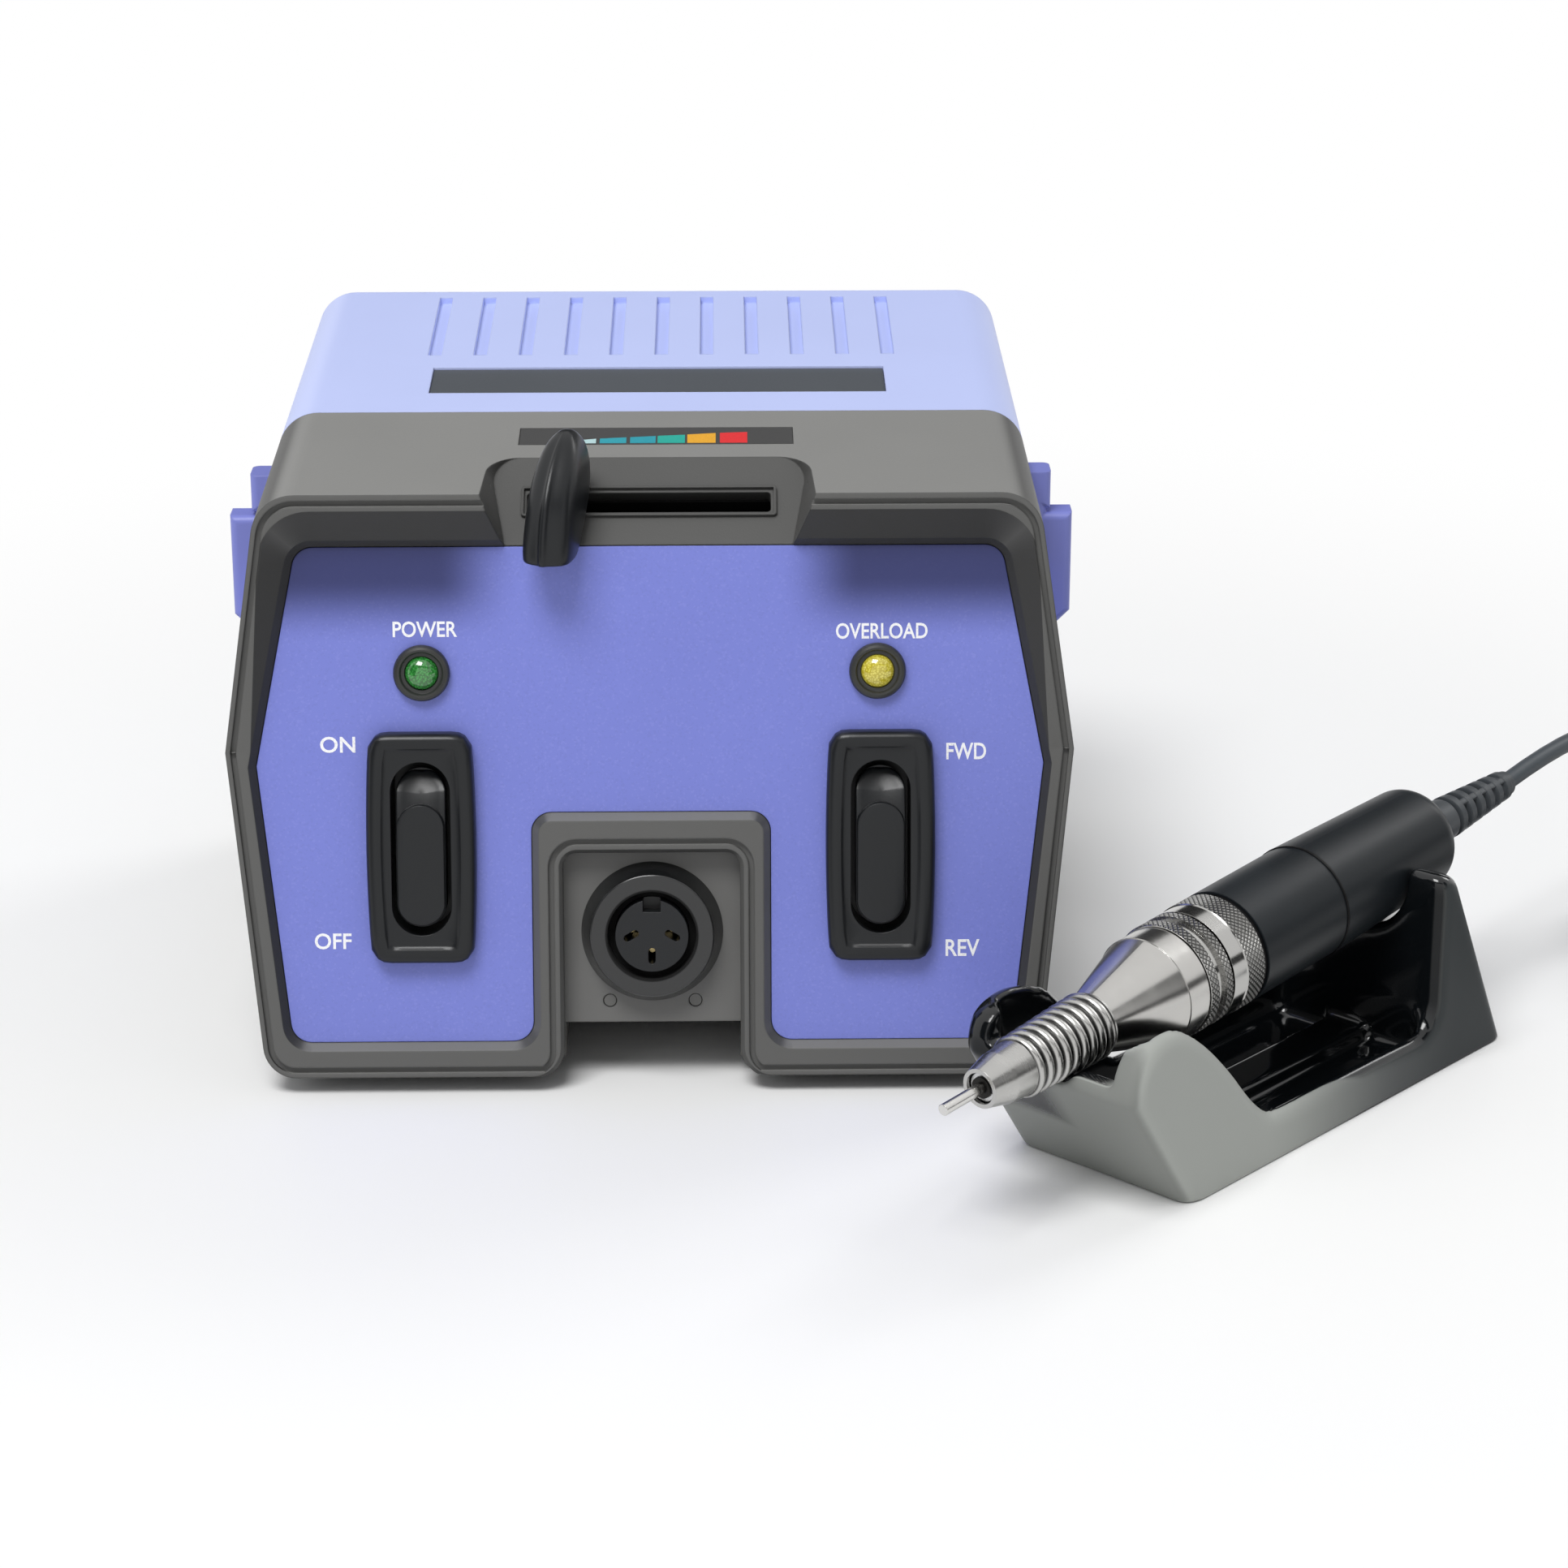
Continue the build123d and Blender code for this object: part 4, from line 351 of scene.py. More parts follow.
def cradleFinish(name, v):
    made = Finish(name)
    away = made.away(cradleFront)
    along, side = made.dot(away, cradleAxis), made.dot(away, handSide)
    height = made.dot(made.place, upwards)
    shape = made.node("NewGeometry", out="Normal")
    forward, upward = made.dot(shape, cradleAxis), made.dot(shape, upwards)
    outward = made.dot(shape, handSide) * made.maths("SIGN", side)
    fine, broad = made.noise(0.0004, 3.0), made.noise(0.02, 3.0)
    flank = made.smooth(outward - made.smooth(along, *v["flankLow"]), *v["flankLean"])
    flank = flank * made.smooth(made.maths("ABSOLUTE", side), *v["flankOut"])
    flank = flank * made.larger(side > 0.0, made.smooth(along, *v["farFlank"]))
    nose = made.smooth(0.0 - forward, *v["noseLean"]) * made.fading(along, *v["noseLong"])
    nose = nose * made.larger(made.smooth(side, *v["noseAcross"]), made.fading(height, *v["noseUp"]))
    crown = made.smooth(side, *v["crownOut"]) * made.smooth(upward, *v["crownLean"])
    crown = crown * made.fading(along, *v["crownEnds"])
    shell = made.larger(made.larger(flank, nose), crown)
    front = made.fading(along + broad * 0.004, *v["paleEnds"])
    rear = made.smooth(along, *v["darkStarts"])
    grey = made.mix(front, made.mix(rear, v["middle"], v["dark"]), v["pale"])
    # painted shade: the faces that look towards the nose are darkened
    lip = made.smooth(0.0 - forward, *v["shadedFrontLean"]) * v["shadedFrontShare"]
    grey = made.mix(lip, grey, scaled(v["pale"], v["shadedFrontPale"]))
    made.set(
        colour=made.mix(shell, v["black"], grey), rough=0.07 + shell * 0.42 + fine * 0.05, gloss=0.2,
        coat=(1 - shell) * made.smooth(upward, *v["coatLean"]) * v["coat"], coatRough=0.05,
    )
    made.relief(fine, 0.000015, 0.4, 0.0006)
    return made


# The socket's place on the panel and the groove round its core, painted black and matt as painted shade
socketLook = {"up": 0.03005, "groove": 0.0098, "grooveEdge": 0.0002, "black": (0.0005, 0.0005, 0.0005)}


def socketFinish(name, colour, v):
    made = Finish(name)
    away = made.away(onPanel(0.0, v["up"], 0.0))
    across, upward = made.dot(away, panelRight), made.dot(away, panelUp)
    radius = made.maths("SQRT", across * across + upward * upward)
    groove = made.fading(radius, v["groove"] - v["grooveEdge"], v["groove"] + v["grooveEdge"])
    fine = made.noise(0.0005, 3.0)
    base = made.mix(fine, scaled(colour, 0.9), colour)
    # painted shade: the groove nearly black, matt and without coat
    base = made.mix(groove, base, v["black"])
    rough = 0.2 + fine * 0.06 + groove * 0.7
    made.set(colour=base, rough=rough, gloss=0.4, coat=(1 - groove) * 0.6, coatRough=0.08)
    made.relief(fine, 0.000008, 0.6, 0.0003)
    return made


# The facets in the lamps' lenses, their paler middles painted glints, and how much they glow, a painted glow
lensLook = {"facets": 2400.0, "facetDepth": 0.00004, "facetEdge": (0.1, 0.75), "glow": 0.12}


def lensFinish(name, colour, pale, v):
    made = Finish(name)
    facet = made.node("TexVoronoi", {}, {"Vector": made.place, "Scale": v["facets"]})
    broad = made.noise(0.003, 2.0)
    # painted glints: the facets' middles paler than their edges
    base = made.mix(made.smooth(facet, *v["facetEdge"]), pale, colour)
    # painted glow, the same on both lenses
    glow = made.mix(broad, colour, pale)
    made.set(colour=base, rough=0.06, coat=1.0, coatRough=0.03, glow=glow, glowing=v["glow"])
    made.relief(facet, v["facetDepth"], 0.3)
    return made


def printed(name, colour, rough=0.45):
    made = Finish(name)
    fine = made.noise(0.0003, 3.0)
    base = made.mix(made.smooth(fine, 0.3, 0.5), scaled(colour, 0.8), colour)
    made.set(colour=base, rough=rough + fine * 0.1)
    made.relief(fine, 0.00001, 0.5)
    return made


def metalFinish(name, colour, rough, grain=0.0003):
    made = Finish(name)
    fine = made.noise(grain, 4.0)
    made.set(colour=made.mix(fine, scaled(colour, 0.85), colour), metal=1.0, rough=rough - 0.06 + fine * 0.14)
    made.relief(fine, 0.00001, 0.5, 0.0002)
    return made


def board(name):
    made = Finish(name)
    copper = made.node("TexBrick", {}, {"Vector": made.place, "Scale": 120.0, "Mortar Size": 0.03}, out="Fac")
    fine = made.noise(0.001, 3.0)
    made.set(colour=made.mix(copper, (0.02, 0.16, 0.07), (0.05, 0.26, 0.12)), rough=0.3 + fine * 0.1)
    made.relief(copper, 0.00003, 0.6)
    return made


def wound(name):
    made = Finish(name)
    turns = made.node(
        "TexWave", {"bands_direction": "Z"}, {"Vector": made.place, "Scale": 320.0, "Distortion": 0.3}
    )
    base = made.mix(turns, (0.28, 0.1, 0.04), (0.75, 0.34, 0.15))
    made.set(colour=base, metal=1.0, rough=0.25 + turns * 0.1)
    made.relief(turns, 0.0002, 0.8)
    return made


chrome, knurl, dark = (0.56, 0.55, 0.53), (0.46, 0.455, 0.44), (0.006, 0.006, 0.006)
finishes = {  # by the CAD part's material slots
    "bezel_grey": moulded(
        "bezelGrey", (0.235, 0.234, 0.226), 0.5, grain=0.00045, depth=0.00004, shade=0.04, edge=0.0006,
        paintedShading=bezelPaintedShading, gloss=0.35,
    ),
    "panel_blue": panelFinish("panelBlue", (0.19, 0.222, 0.64), panelLook),
    "cover_lavender": moulded(
        "coverLavender", (0.54, 0.61, 0.95), 0.42, grain=0.0006, depth=0.000012, shade=0.02, edge=0.0005
    ),
    "scale_label": printed("scaleLabel", (0.045, 0.045, 0.045)),
    "strip_grey": moulded("stripGrey", (0.061, 0.069, 0.08), 0.5, shade=0.06, edge=0.0002),
    "case_grey": moulded(
        "caseGrey", (0.1, 0.098, 0.092), 0.52, grain=0.00045, depth=0.00003, shade=0.04, edge=0.0004
    ),
    "switch_black": moulded(
        "switchBlack", (0.009, 0.01, 0.0115), 0.3, depth=0.000008, shade=0.06, gloss=0.35
    ),
    "lens_green": lensFinish("lensGreen", (0.01, 0.1, 0.015), (0.05, 0.32, 0.06), lensLook),
    "lens_yellow": lensFinish("lensYellow", (0.42, 0.34, 0.015), (0.75, 0.68, 0.12), lensLook),
    "bracket_blue": moulded(
        "bracketBlue", (0.2, 0.225, 0.62), 0.4, grain=0.0006, depth=0.00001, shade=0.03, edge=0.0005
    ),
    "foot_rubber": rubbed("footRubber", (0.02, 0.02, 0.02), 0.7),
    "steel": metalFinish("steel", (0.6, 0.6, 0.6), 0.26),
    "core_steel": metalFinish("coreSteel", (0.2, 0.2, 0.21), 0.5, grain=0.001),
    "copper": wound("copperWinding"),
    "board_green": board("boardGreen"),
    "sink_aluminium": metalFinish("sinkAluminium", (0.75, 0.75, 0.76), 0.35),
    "contact_brass": metalFinish("contactBrass", (0.75, 0.6, 0.3), 0.25),
    "nose_chrome": polished("noseChrome", chrome, 0.14, polishedLook),
    "grip_black": rubbed("gripBlack", (0.009, 0.0115, 0.014), 0.36, gloss=0.22),
    "seal_black": rubbed("sealBlack", (0.004, 0.004, 0.0045), 0.35, gloss=0.12),
    "relief_rubber": rubbed("reliefRubber", (0.05, 0.056, 0.062), 0.45),
    "cradle_grey": cradleFinish("cradleGrey", cradleLook),
    "cord_grey": rubbed("cordGrey", (0.06, 0.07, 0.08), 0.42),
}
ownFinish = {  # single pieces that differ from their slot
    "lock_ring": knurled("lockRing", knurl, [(0.0581, 0.0604), (0.0629, 0.0651)], 60, knurlLook),
    "knurled_collar": knurled("knurledCollar", knurl, [(0.0698, 0.0756)], 64, knurlLook),
    "bit_shank": metalFinish("bitShank", (0.72, 0.71, 0.69), 0.18),
    "nose_sleeve": polished(
        "noseSatin", (0.5, 0.495, 0.48), 0.2, polishedLook, ribs=(0.0108, 0.0026, 0.0342)
    ),
    "collet": metalFinish("collet", (0.03, 0.029, 0.027), 0.4),
    # painted shade: a darker copy of the bezel grey for the plate in the alcove
    "socket_plate": moulded(
        "plateGreyShaded", (0.14, 0.139, 0.134), 0.5, grain=0.00045, depth=0.00004, shade=0.04, edge=0.0006,
        gloss=0.35,
    ),
    "socket_shell": socketFinish("socketBlack", (0.009, 0.0095, 0.01), socketLook),
    # painted shade: a darker copy of the bezel grey for the plate's screws
    "socket_plate_screws": moulded(
        "sunkScrewShaded", (0.12, 0.119, 0.113), 0.5, grain=0.0003, depth=0.00004, shade=0.2, edge=0.0002
    ),
    # painted shade: the parts seen through the lever's slot are near black so that the slot looks dark
    "speed_potentiometer": moulded("slotShadeInside", dark, 0.7, depth=0.00001, shade=0.1, edge=0.0, gloss=0.1),
    "potentiometer_slider": moulded("slotShadeSlider", dark, 0.7, depth=0.00001, shade=0.1, edge=0.0, gloss=0.1),
}
for part in frame["record"]["subparts"]:
    made = ownFinish.get(part["node"]) or finishes[part["material_slot"]]
    for slot in nodes[part["node"]].material_slots:
        slot.material = made.material
print("finishes made:", len(finishes) + len(ownFinish))


# Modelling helpers
def clearPick():
    if bpy.context.object and bpy.context.object.mode != "OBJECT":
        bpy.ops.object.mode_set(mode="OBJECT")
    bpy.ops.object.select_all(action="DESELECT")


def pickOnly(piece):
    clearPick()
    piece.select_set(True)
    bpy.context.view_layer.objects.active = piece


def settle(piece, name, finish, place=None, angle=35.0):  # place goes into the mesh
    piece.name = name
    pickOnly(piece)
    bpy.ops.object.transform_apply(location=True, rotation=True, scale=True)
    if place is not None:
        piece.data.transform(place)
    piece.data.materials.clear()
    piece.data.materials.append(finish.material)
    bpy.ops.object.mode_set(mode="EDIT")
    bpy.ops.mesh.select_all(action="SELECT")
    bpy.ops.mesh.remove_doubles(threshold=0.000001)
    bpy.ops.mesh.normals_make_consistent(inside=False)
    bpy.ops.object.mode_set(mode="OBJECT")
    bpy.ops.object.shade_smooth_by_angle(angle=radians(angle))
    return piece


def turnedPiece(stations, segments=48):  # along +Z, each station a height and a radius
    clearPick()
    bpy.ops.mesh.primitive_circle_add(
        vertices=segments, radius=stations[0][1], fill_type="NGON", location=(0.0, 0.0, stations[0][0])
    )
    piece = bpy.context.object
    bpy.ops.object.transform_apply(location=True)
    bpy.ops.object.mode_set(mode="EDIT")
    bpy.ops.mesh.select_all(action="SELECT")
    for (low, was), (high, now) in zip(stations, stations[1:]):
        bpy.ops.mesh.extrude_region_move(TRANSFORM_OT_translate={"value": (0.0, 0.0, high - low)})
        bpy.ops.transform.resize(value=(now / was, now / was, 1.0), center_override=(0.0, 0.0, high))
    bpy.ops.object.mode_set(mode="OBJECT")
    return piece


def lofted(rings, closedStart=False, closedEnd=False):  # every ring a list of as many places
    count = len(rings[0])
    clearPick()
    bpy.ops.mesh.primitive_circle_add(vertices=count, radius=1.0)
    piece = bpy.context.object
    bpy.ops.object.mode_set(mode="EDIT")
    bpy.ops.mesh.select_all(action="SELECT")
    for _ in rings[1:]:
        bpy.ops.mesh.extrude_region_move(TRANSFORM_OT_translate={"value": (0.0, 0.0, 1.0)})
    bpy.ops.object.mode_set(mode="OBJECT")
    order = {}
    for vertex in piece.data.vertices:
        step = round(atan2(vertex.co.y, vertex.co.x) / (2 * pi / count)) % count
        order[vertex.index] = (round(vertex.co.z), step)
    ends = {0: [], len(rings) - 1: []}
    for vertex in piece.data.vertices:
        ring, step = order[vertex.index]
        vertex.co = rings[ring][step]
        if ring in ends:
            ends[ring].append(vertex.index)
    for ring, wanted in ((0, closedStart), (len(rings) - 1, closedEnd)):
        if wanted:
            pickOnly(piece)
            bpy.ops.object.mode_set(mode="EDIT")
            bpy.ops.mesh.select_mode(type="VERT")
            bpy.ops.mesh.select_all(action="DESELECT")
            bpy.ops.object.mode_set(mode="OBJECT")
            for index in ends[ring]:
                piece.data.vertices[index].select = True
            bpy.ops.object.mode_set(mode="EDIT")
            bpy.ops.mesh.edge_face_add()
            bpy.ops.object.mode_set(mode="OBJECT")
    return piece


def join(pieces):
    pickOnly(pieces[0])
    for piece in pieces[1:]:
        piece.select_set(True)
    bpy.ops.object.join()
    return bpy.context.object


def basis(origin, right, up, out):
    return Matrix((
        (right[0], up[0], out[0], origin[0]),
        (right[1], up[1], out[1], origin[1]),
        (right[2], up[2], out[2], origin[2]),
        (0.0, 0.0, 0.0, 1.0),
    ))


def panelPlace(x, up, out=0.0):
    return basis(onPanel(x, up, out), panelRight, panelUp, panelOut)


handPlace = basis(handOrigin, handSide, handUp, handAxis)

# The handpiece's cord, its coil and the tail to the plug; the route's places are in millimetres
cordRoute = {
    "radius": 0.002,
    "free": [(138.19, 15.24, 45.21), (156.0, 34.1, 49.6), (175.5, 57.3, 43.5), (203.5, 66.3, 25.0),
             (231.5, 44.3, 8.0), (241.0, 8.3, 3.0), (241.0, -23.7, 3.0)],
    "coilX": 211.5, "coilY": -27.7, "coilLow": 3.0, "coilRise": 4.5,
    "coilOuter": 29.5, "coilStep": 2.3, "halves": 6, "steps": 6, "stepTurn": 30.0, "bulge": 0.966,
    "order": 3, "smooth": 6, "sides": 4,
    "tail": [(182.0, -23.7, 7.5), (182.0, -14.7, 7.5), (179.5, -1.7, 11.0), (179.5, 14.3, 11.0)],
    "blendEnd": (0.1818, 0.0039, 0.0242),
}


def coilPoints(route):
    points, halves = [], []  # each half turn's radius, side, shift and layer
    inner = route["coilOuter"] - route["coilStep"] * route["halves"]
    for k in range(route["halves"]):  # inwards on the floor
        radius = route["coilOuter"] - route["coilStep"] * k
        halves.append((radius, -1 if k % 2 == 0 else 1, 0.0 if k % 2 == 0 else -route["coilStep"], 0))
    halves.append((inner, -1, 0.0, 1))
    for k in range(route["halves"]):  # back outwards on top
        radius = inner + route["coilStep"] * (k + 1)
        halves.append((radius, 1 if k % 2 == 0 else -1, route["coilStep"] if k % 2 == 0 else 0.0, 2))
    for radius, side, shift, layer in halves:
        for step in range(route["steps"]):
            turn = radians(route["stepTurn"] * (step + 0.5))
            lift = {0: 0.0, 1: (1 - cos(turn)) / 2, 2: 1.0}[layer] * route["coilRise"]
            points.append((
                route["coilX"] + shift - side * cos(turn) * radius / route["bulge"],
                route["coilY"] + side * sin(turn) * radius / route["bulge"],
                route["coilLow"] + lift,
            ))
    return points


def makeCord(route):
    points = route["free"] + coilPoints(route) + route["tail"]
    line = bpy.data.curves.new("cordLine", "CURVE")
    line.dimensions = "3D"
    spline = line.splines.new("NURBS")
    spline.points.add(len(points) - 1)
    for point, (x, y, z) in zip(spline.points, points):
        point.co = (x / 1000, y / 1000, z / 1000, 1.0)
    spline.order_u = route["order"]
    spline.use_endpoint_u = True
    line.resolution_u = route["smooth"]
    guide = bpy.data.objects.new("cordLine", line)
    bpy.context.scene.collection.objects.link(guide)
    bpy.context.view_layer.update()
    traced = bpy.data.meshes.new_from_object(guide)
    path = [tuple(v.co) for v in traced.vertices]
    bpy.data.meshes.remove(traced)
    line.bevel_depth = route["radius"]
    line.bevel_resolution = route["sides"]
    line.use_fill_caps = True
    pickOnly(guide)
    bpy.ops.object.convert(target="MESH")
    return bpy.context.object, path


cord, cordPath = makeCord(cordRoute)
settle(cord, "cord", finishes["cord_grey"], angle=60.0)
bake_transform(cord)
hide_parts("handpiece_cord", "cord_coil", "cord_tail")

# The strain relief: a smooth collar, then rings that stand on a thin core
relief = {
    # stations along the core from its start, its neck and its end, each with its radius
    "start": 0.1486, "neck": 0.1575, "end": 0.182,
    "collar": ((-0.0004, 0.0049), (0.0, 0.0054), (0.0008, 0.0056), (0.0016, 0.0055), (0.0045, 0.0051)),
    "throat": ((-0.001, 0.0048), (0.0, 0.0046), (0.0002, 0.0026)),
    "tip": ((-0.0025, 0.0026), (-0.002, 0.003), (0.0, 0.0028), (0.0002, 0.0021)),
    "ribs": 6, "firstRib": 0.0011, "pitch": 0.0039, "rib": 0.0023, "first": 0.0047, "last": 0.0034,
    "edge": 0.00025, "lip": 0.0004, "taper": 0.0001,
    "slots": 4, "turn": 55.0, "bridge": (0.0018, 0.0014), "bridgeIn": 0.0012, "bridgeUp": 0.0006,
    "bridgeRound": 0.0002,
}


def makeRelief(v):
    core = []
    for base, shape in (("start", "collar"), ("neck", "throat"), ("end", "tip")):
        core += [(v[base] + along, radius) for along, radius in v[shape]]
    pieces = [turnedPiece(core)]
    for k in range(v["ribs"]):
        low = v["neck"] + v["firstRib"] + k * v["pitch"]
        radius = v["first"] + (v["last"] - v["first"]) * k / (v["ribs"] - 1)
        pieces.append(turnedPiece([
            (low, radius - v["lip"]), (low + v["edge"], radius),
            (low + v["rib"] - v["edge"], radius - v["taper"]),
            (low + v["rib"], radius - v["taper"] - v["lip"]),
        ]))
        if k < v["ribs"] - 1:  # bridges between this ring and the next, in rows
            for turn in range(v["slots"]):
                angle = 2 * pi * turn / v["slots"] + radians(v["turn"])
                reach = radius - v["bridgeIn"]
                clearPick()
                bpy.ops.mesh.primitive_cube_add(
                    size=1.0, rotation=(0.0, 0.0, angle), scale=(*v["bridge"], v["pitch"]),
                    location=(reach * cos(angle), reach * sin(angle), low + v["pitch"] / 2 + v["bridgeUp"]),
                )
                bridge = bpy.context.object
                rounding = bridge.modifiers.new("round", "BEVEL")
                rounding.width = v["bridgeRound"]
                rounding.segments = 2
                bpy.ops.object.modifier_apply(modifier="round")
                pieces.append(bridge)
    return join(pieces)


reliefPiece = settle(makeRelief(relief), "strainRelief", finishes["relief_rubber"], handPlace)
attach(reliefPiece, "handpiece")
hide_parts("strain_relief")

# A dark seam between the front grip and the housing
seam = {"start": 0.104, "end": 0.1048, "radius": 0.01263, "sunk": 0.0006, "edge": 0.0001}
seamPiece = settle(turnedPiece([
    (seam["start"], seam["radius"] - seam["sunk"]), (seam["start"] + seam["edge"], seam["radius"]),
    (seam["end"] - seam["edge"], seam["radius"]), (seam["end"], seam["radius"] - seam["sunk"]),
]), "seamRing", finishes["seal_black"], handPlace)
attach(seamPiece, "handpiece")
print("strain relief made")

# The two rockers: a body that dips at its upper end, and a raised oval pad
rockerSizes = {
    "x": 0.0478, "up": 0.0489, "width": 0.0104, "height": 0.033, "floor": -0.0035, "crest": 0.0019,
    "dip": 0.0047, "curl": 0.35, "crease": 0.0078, "sag": 0.0007, "sagReach": 0.024, "hollow": 0.0009,
    # each ring's share of the way to the middle line, then how far it lies below the top
    "rings": ((0.0, 0.0005), (0.03, 0.00015), (0.1, 0.0), (0.3, 0.0), (0.5, 0.0), (0.75, 0.0), (1.0, 0.0)),
    "padWidth": 0.0098, "padLow": -0.0161, "padHigh": 0.0095, "padFoot": -0.0016, "padProud": 0.0007,
    # for the pad, then the part of padProud that it stands up
    "padRings": ((0.0, 0.55), (0.025, 0.85), (0.09, 1.0), (0.4, 1.05), (0.7, 1.1), (1.0, 1.1)),
    "points": 64,
}


def stadium(width, low, high, shrink, points):  # from its edge, shrink 0, to its middle line, shrink 1
    radius, places = width / 2, []
    for k in range(points):
        turn = 2 * pi * k / points
        x, y = radius * cos(turn), radius * sin(turn)
        middle = high - radius if sin(turn) > 0 else low + radius
        if abs(sin(turn)) < 0.001:
            middle = (high + low) / 2
        places.append((x * (1 - shrink), middle + y * (1 - shrink)))
    return places


def makeRocker(name, side, v):
    def topOf(x, y):
        if y <= v["crease"]:
            return v["crest"] - v["sag"] * ((v["crease"] - y) / v["sagReach"]) ** 2
        share = min((y - v["crease"]) / (v["height"] / 2 - v["crease"]), 1.0)
        dish = v["hollow"] * (1 - (x / (v["width"] / 2)) ** 2) * min(share * 3, 1.0)
        return v["crest"] - v["dip"] * ((1 + v["curl"]) * share - v["curl"] * share * share) - dish

    def outline(shrink):
        return stadium(v["width"], -v["height"] / 2, v["height"] / 2, shrink, v["points"])

    body = [[(x, y, v["floor"]) for x, y in outline(0.0)]]
    body += [[(x, y, topOf(x, y) - drop) for x, y in outline(shrink)] for shrink, drop in v["rings"]]
    pad, lifts = [], [(shrink, part * v["padProud"]) for shrink, part in v["padRings"]]
    for shrink, lift in [(0.0, v["padFoot"])] + lifts:
        ring = stadium(v["padWidth"], v["padLow"], v["padHigh"], shrink, v["points"])
        pad.append([(x, y, topOf(x, min(y, v["crease"])) + lift) for x, y in ring])
    piece = join([lofted(body, closedStart=True), lofted(pad, closedStart=True)])
    place = panelPlace(side * v["x"], v["up"])
    settle(piece, name, finishes["switch_black"], place, angle=38.0)
    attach(piece, name.replace("Rocker", "_rocker"))
    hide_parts(name.replace("Rocker", "_rocker"))


makeRocker("powerRocker", -1, rockerSizes)
makeRocker("directionRocker", 1, rockerSizes)

# Their surrounds: bowed sides, a round shoulder, a sunk flat and the oval well
surround = {
    "width": 0.0212, "bow": 0.0008, "height": 0.0486, "corner": 0.0036, "cornerLeast": 0.0006, "points": 96,
    "rings": (  # how far in, how far out of the panel
        (0.0, -0.0021), (0.0, 0.0002), (0.0002, 0.0010), (0.0007, 0.0016), (0.0014, 0.0019),
        (0.0024, 0.00195), (0.0031, 0.0018), (0.0035, 0.0014), (0.0039, 0.0012),
    ),
    "well": 0.0124, "wellHeight": 0.0366, "wellSteps": (0.0012, -0.0105),
}


def bowedRing(v, inset, out):
    places = []
    half, tall = v["width"] / 2 - inset, v["height"] / 2 - inset
    corner = max(v["corner"] - inset, v["cornerLeast"])
    for k in range(v["points"]):
        turn = 2 * pi * k / v["points"]
        cx, cy = cos(turn), sin(turn)
        reach = min(half / max(abs(cx), 1e-6), tall / max(abs(cy), 1e-6))
        x, y = cx * reach, cy * reach
        overX, overY = abs(x) - (half - corner), abs(y) - (tall - corner)
        if overX > 0 and overY > 0:  # round the corner
            far = (overX ** 2 + overY ** 2) ** 0.5
            x = (half - corner + overX * corner / far) * (1 if x > 0 else -1)
            y = (tall - corner + overY * corner / far) * (1 if y > 0 else -1)
        x += v["bow"] * (1 - (y / tall) ** 2) * x / half
        places.append((x, y, out))
    return places


def makeSurround(name, side, v):
    rings = [bowedRing(v, inset, out) for inset, out in v["rings"]]
    radius = v["well"] / 2
    straight = v["wellHeight"] / 2 - radius
    for out in v["wellSteps"]:  # the well's mouth and floor, each place straight in from the outer ring
        ring = []
        for x, y, _ in rings[0]:
            middle = max(-straight, min(straight, y))
            far = (x * x + (y - middle) ** 2) ** 0.5
            ring.append((x / far * radius, middle + (y - middle) / far * radius, out))
        rings.append(ring)
    piece = lofted(rings, closedEnd=True)
    place = panelPlace(side * rockerSizes["x"], rockerSizes["up"])
    settle(piece, name + "Surround", finishes["switch_black"], place, angle=32.0)
    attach(piece, "set")
    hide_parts(name + "_switch")


makeSurround("power", -1, surround)
makeSurround("direction", 1, surround)
print("switches made")

# The lever: a leaf with a ridge down its front, from the foot upwards
lever = {
    "x": -0.0187, "middle": 0.0215, "turn": -15.0, "smooth": 2,
    "levels": (  # height, front, rear, half width
        (0.1123, 0.0110, 0.0222, 0.0046), (0.1127, 0.0104, 0.0228, 0.0052), (0.1160, 0.0108, 0.0258, 0.0054),
        (0.1200, 0.0119, 0.0302, 0.0054), (0.1240, 0.0135, 0.0334, 0.0053), (0.1275, 0.0157, 0.0348, 0.0050),
        (0.1305, 0.0182, 0.0350, 0.0045), (0.1330, 0.0209, 0.0342, 0.0038), (0.1350, 0.0238, 0.0326, 0.0029),
        (0.1361, 0.0262, 0.0310, 0.0017), (0.1366, 0.0280, 0.0298, 0.0008),
    ),
    "section": (  # shares of the half width and of the depth
        (0.0, -0.045), (0.1, -0.04), (0.16, 0.0), (0.45, 0.03), (0.85, 0.1), (1.0, 0.25), (1.0, 0.5),
        (0.93, 0.8), (0.7, 0.96), (0.3, 1.0),
    ),
}


def makeLever(v):
    half = list(v["section"])
    outline = half + [(0.0, 1.0)] + [(-w, d) for w, d in reversed(half[1:])]
    rings = []
    turn = Matrix.Rotation(radians(v["turn"]), 4, "Z")
    for height, front, rear, wide in v["levels"]:
        ring = []
        for w, d in outline:
            place = turn @ Vector((w * wide, front + d * (rear - front) - v["middle"], height))
            ring.append((boxMiddle + v["x"] + place.x, boxFront + v["middle"] + place.y, place.z))
        rings.append(ring)
    piece = lofted(rings, closedStart=True, closedEnd=True)
    smoothing = piece.modifiers.new("smooth", "SUBSURF")
    smoothing.levels = smoothing.render_levels = v["smooth"]
    pickOnly(piece)
    bpy.ops.object.modifier_apply(modifier="smooth")
    return piece


leverPiece = settle(makeLever(lever), "speedLever", finishes["switch_black"], angle=45.0)
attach(leverPiece, "speed_lever")
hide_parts("speed_lever")
print("lever made")

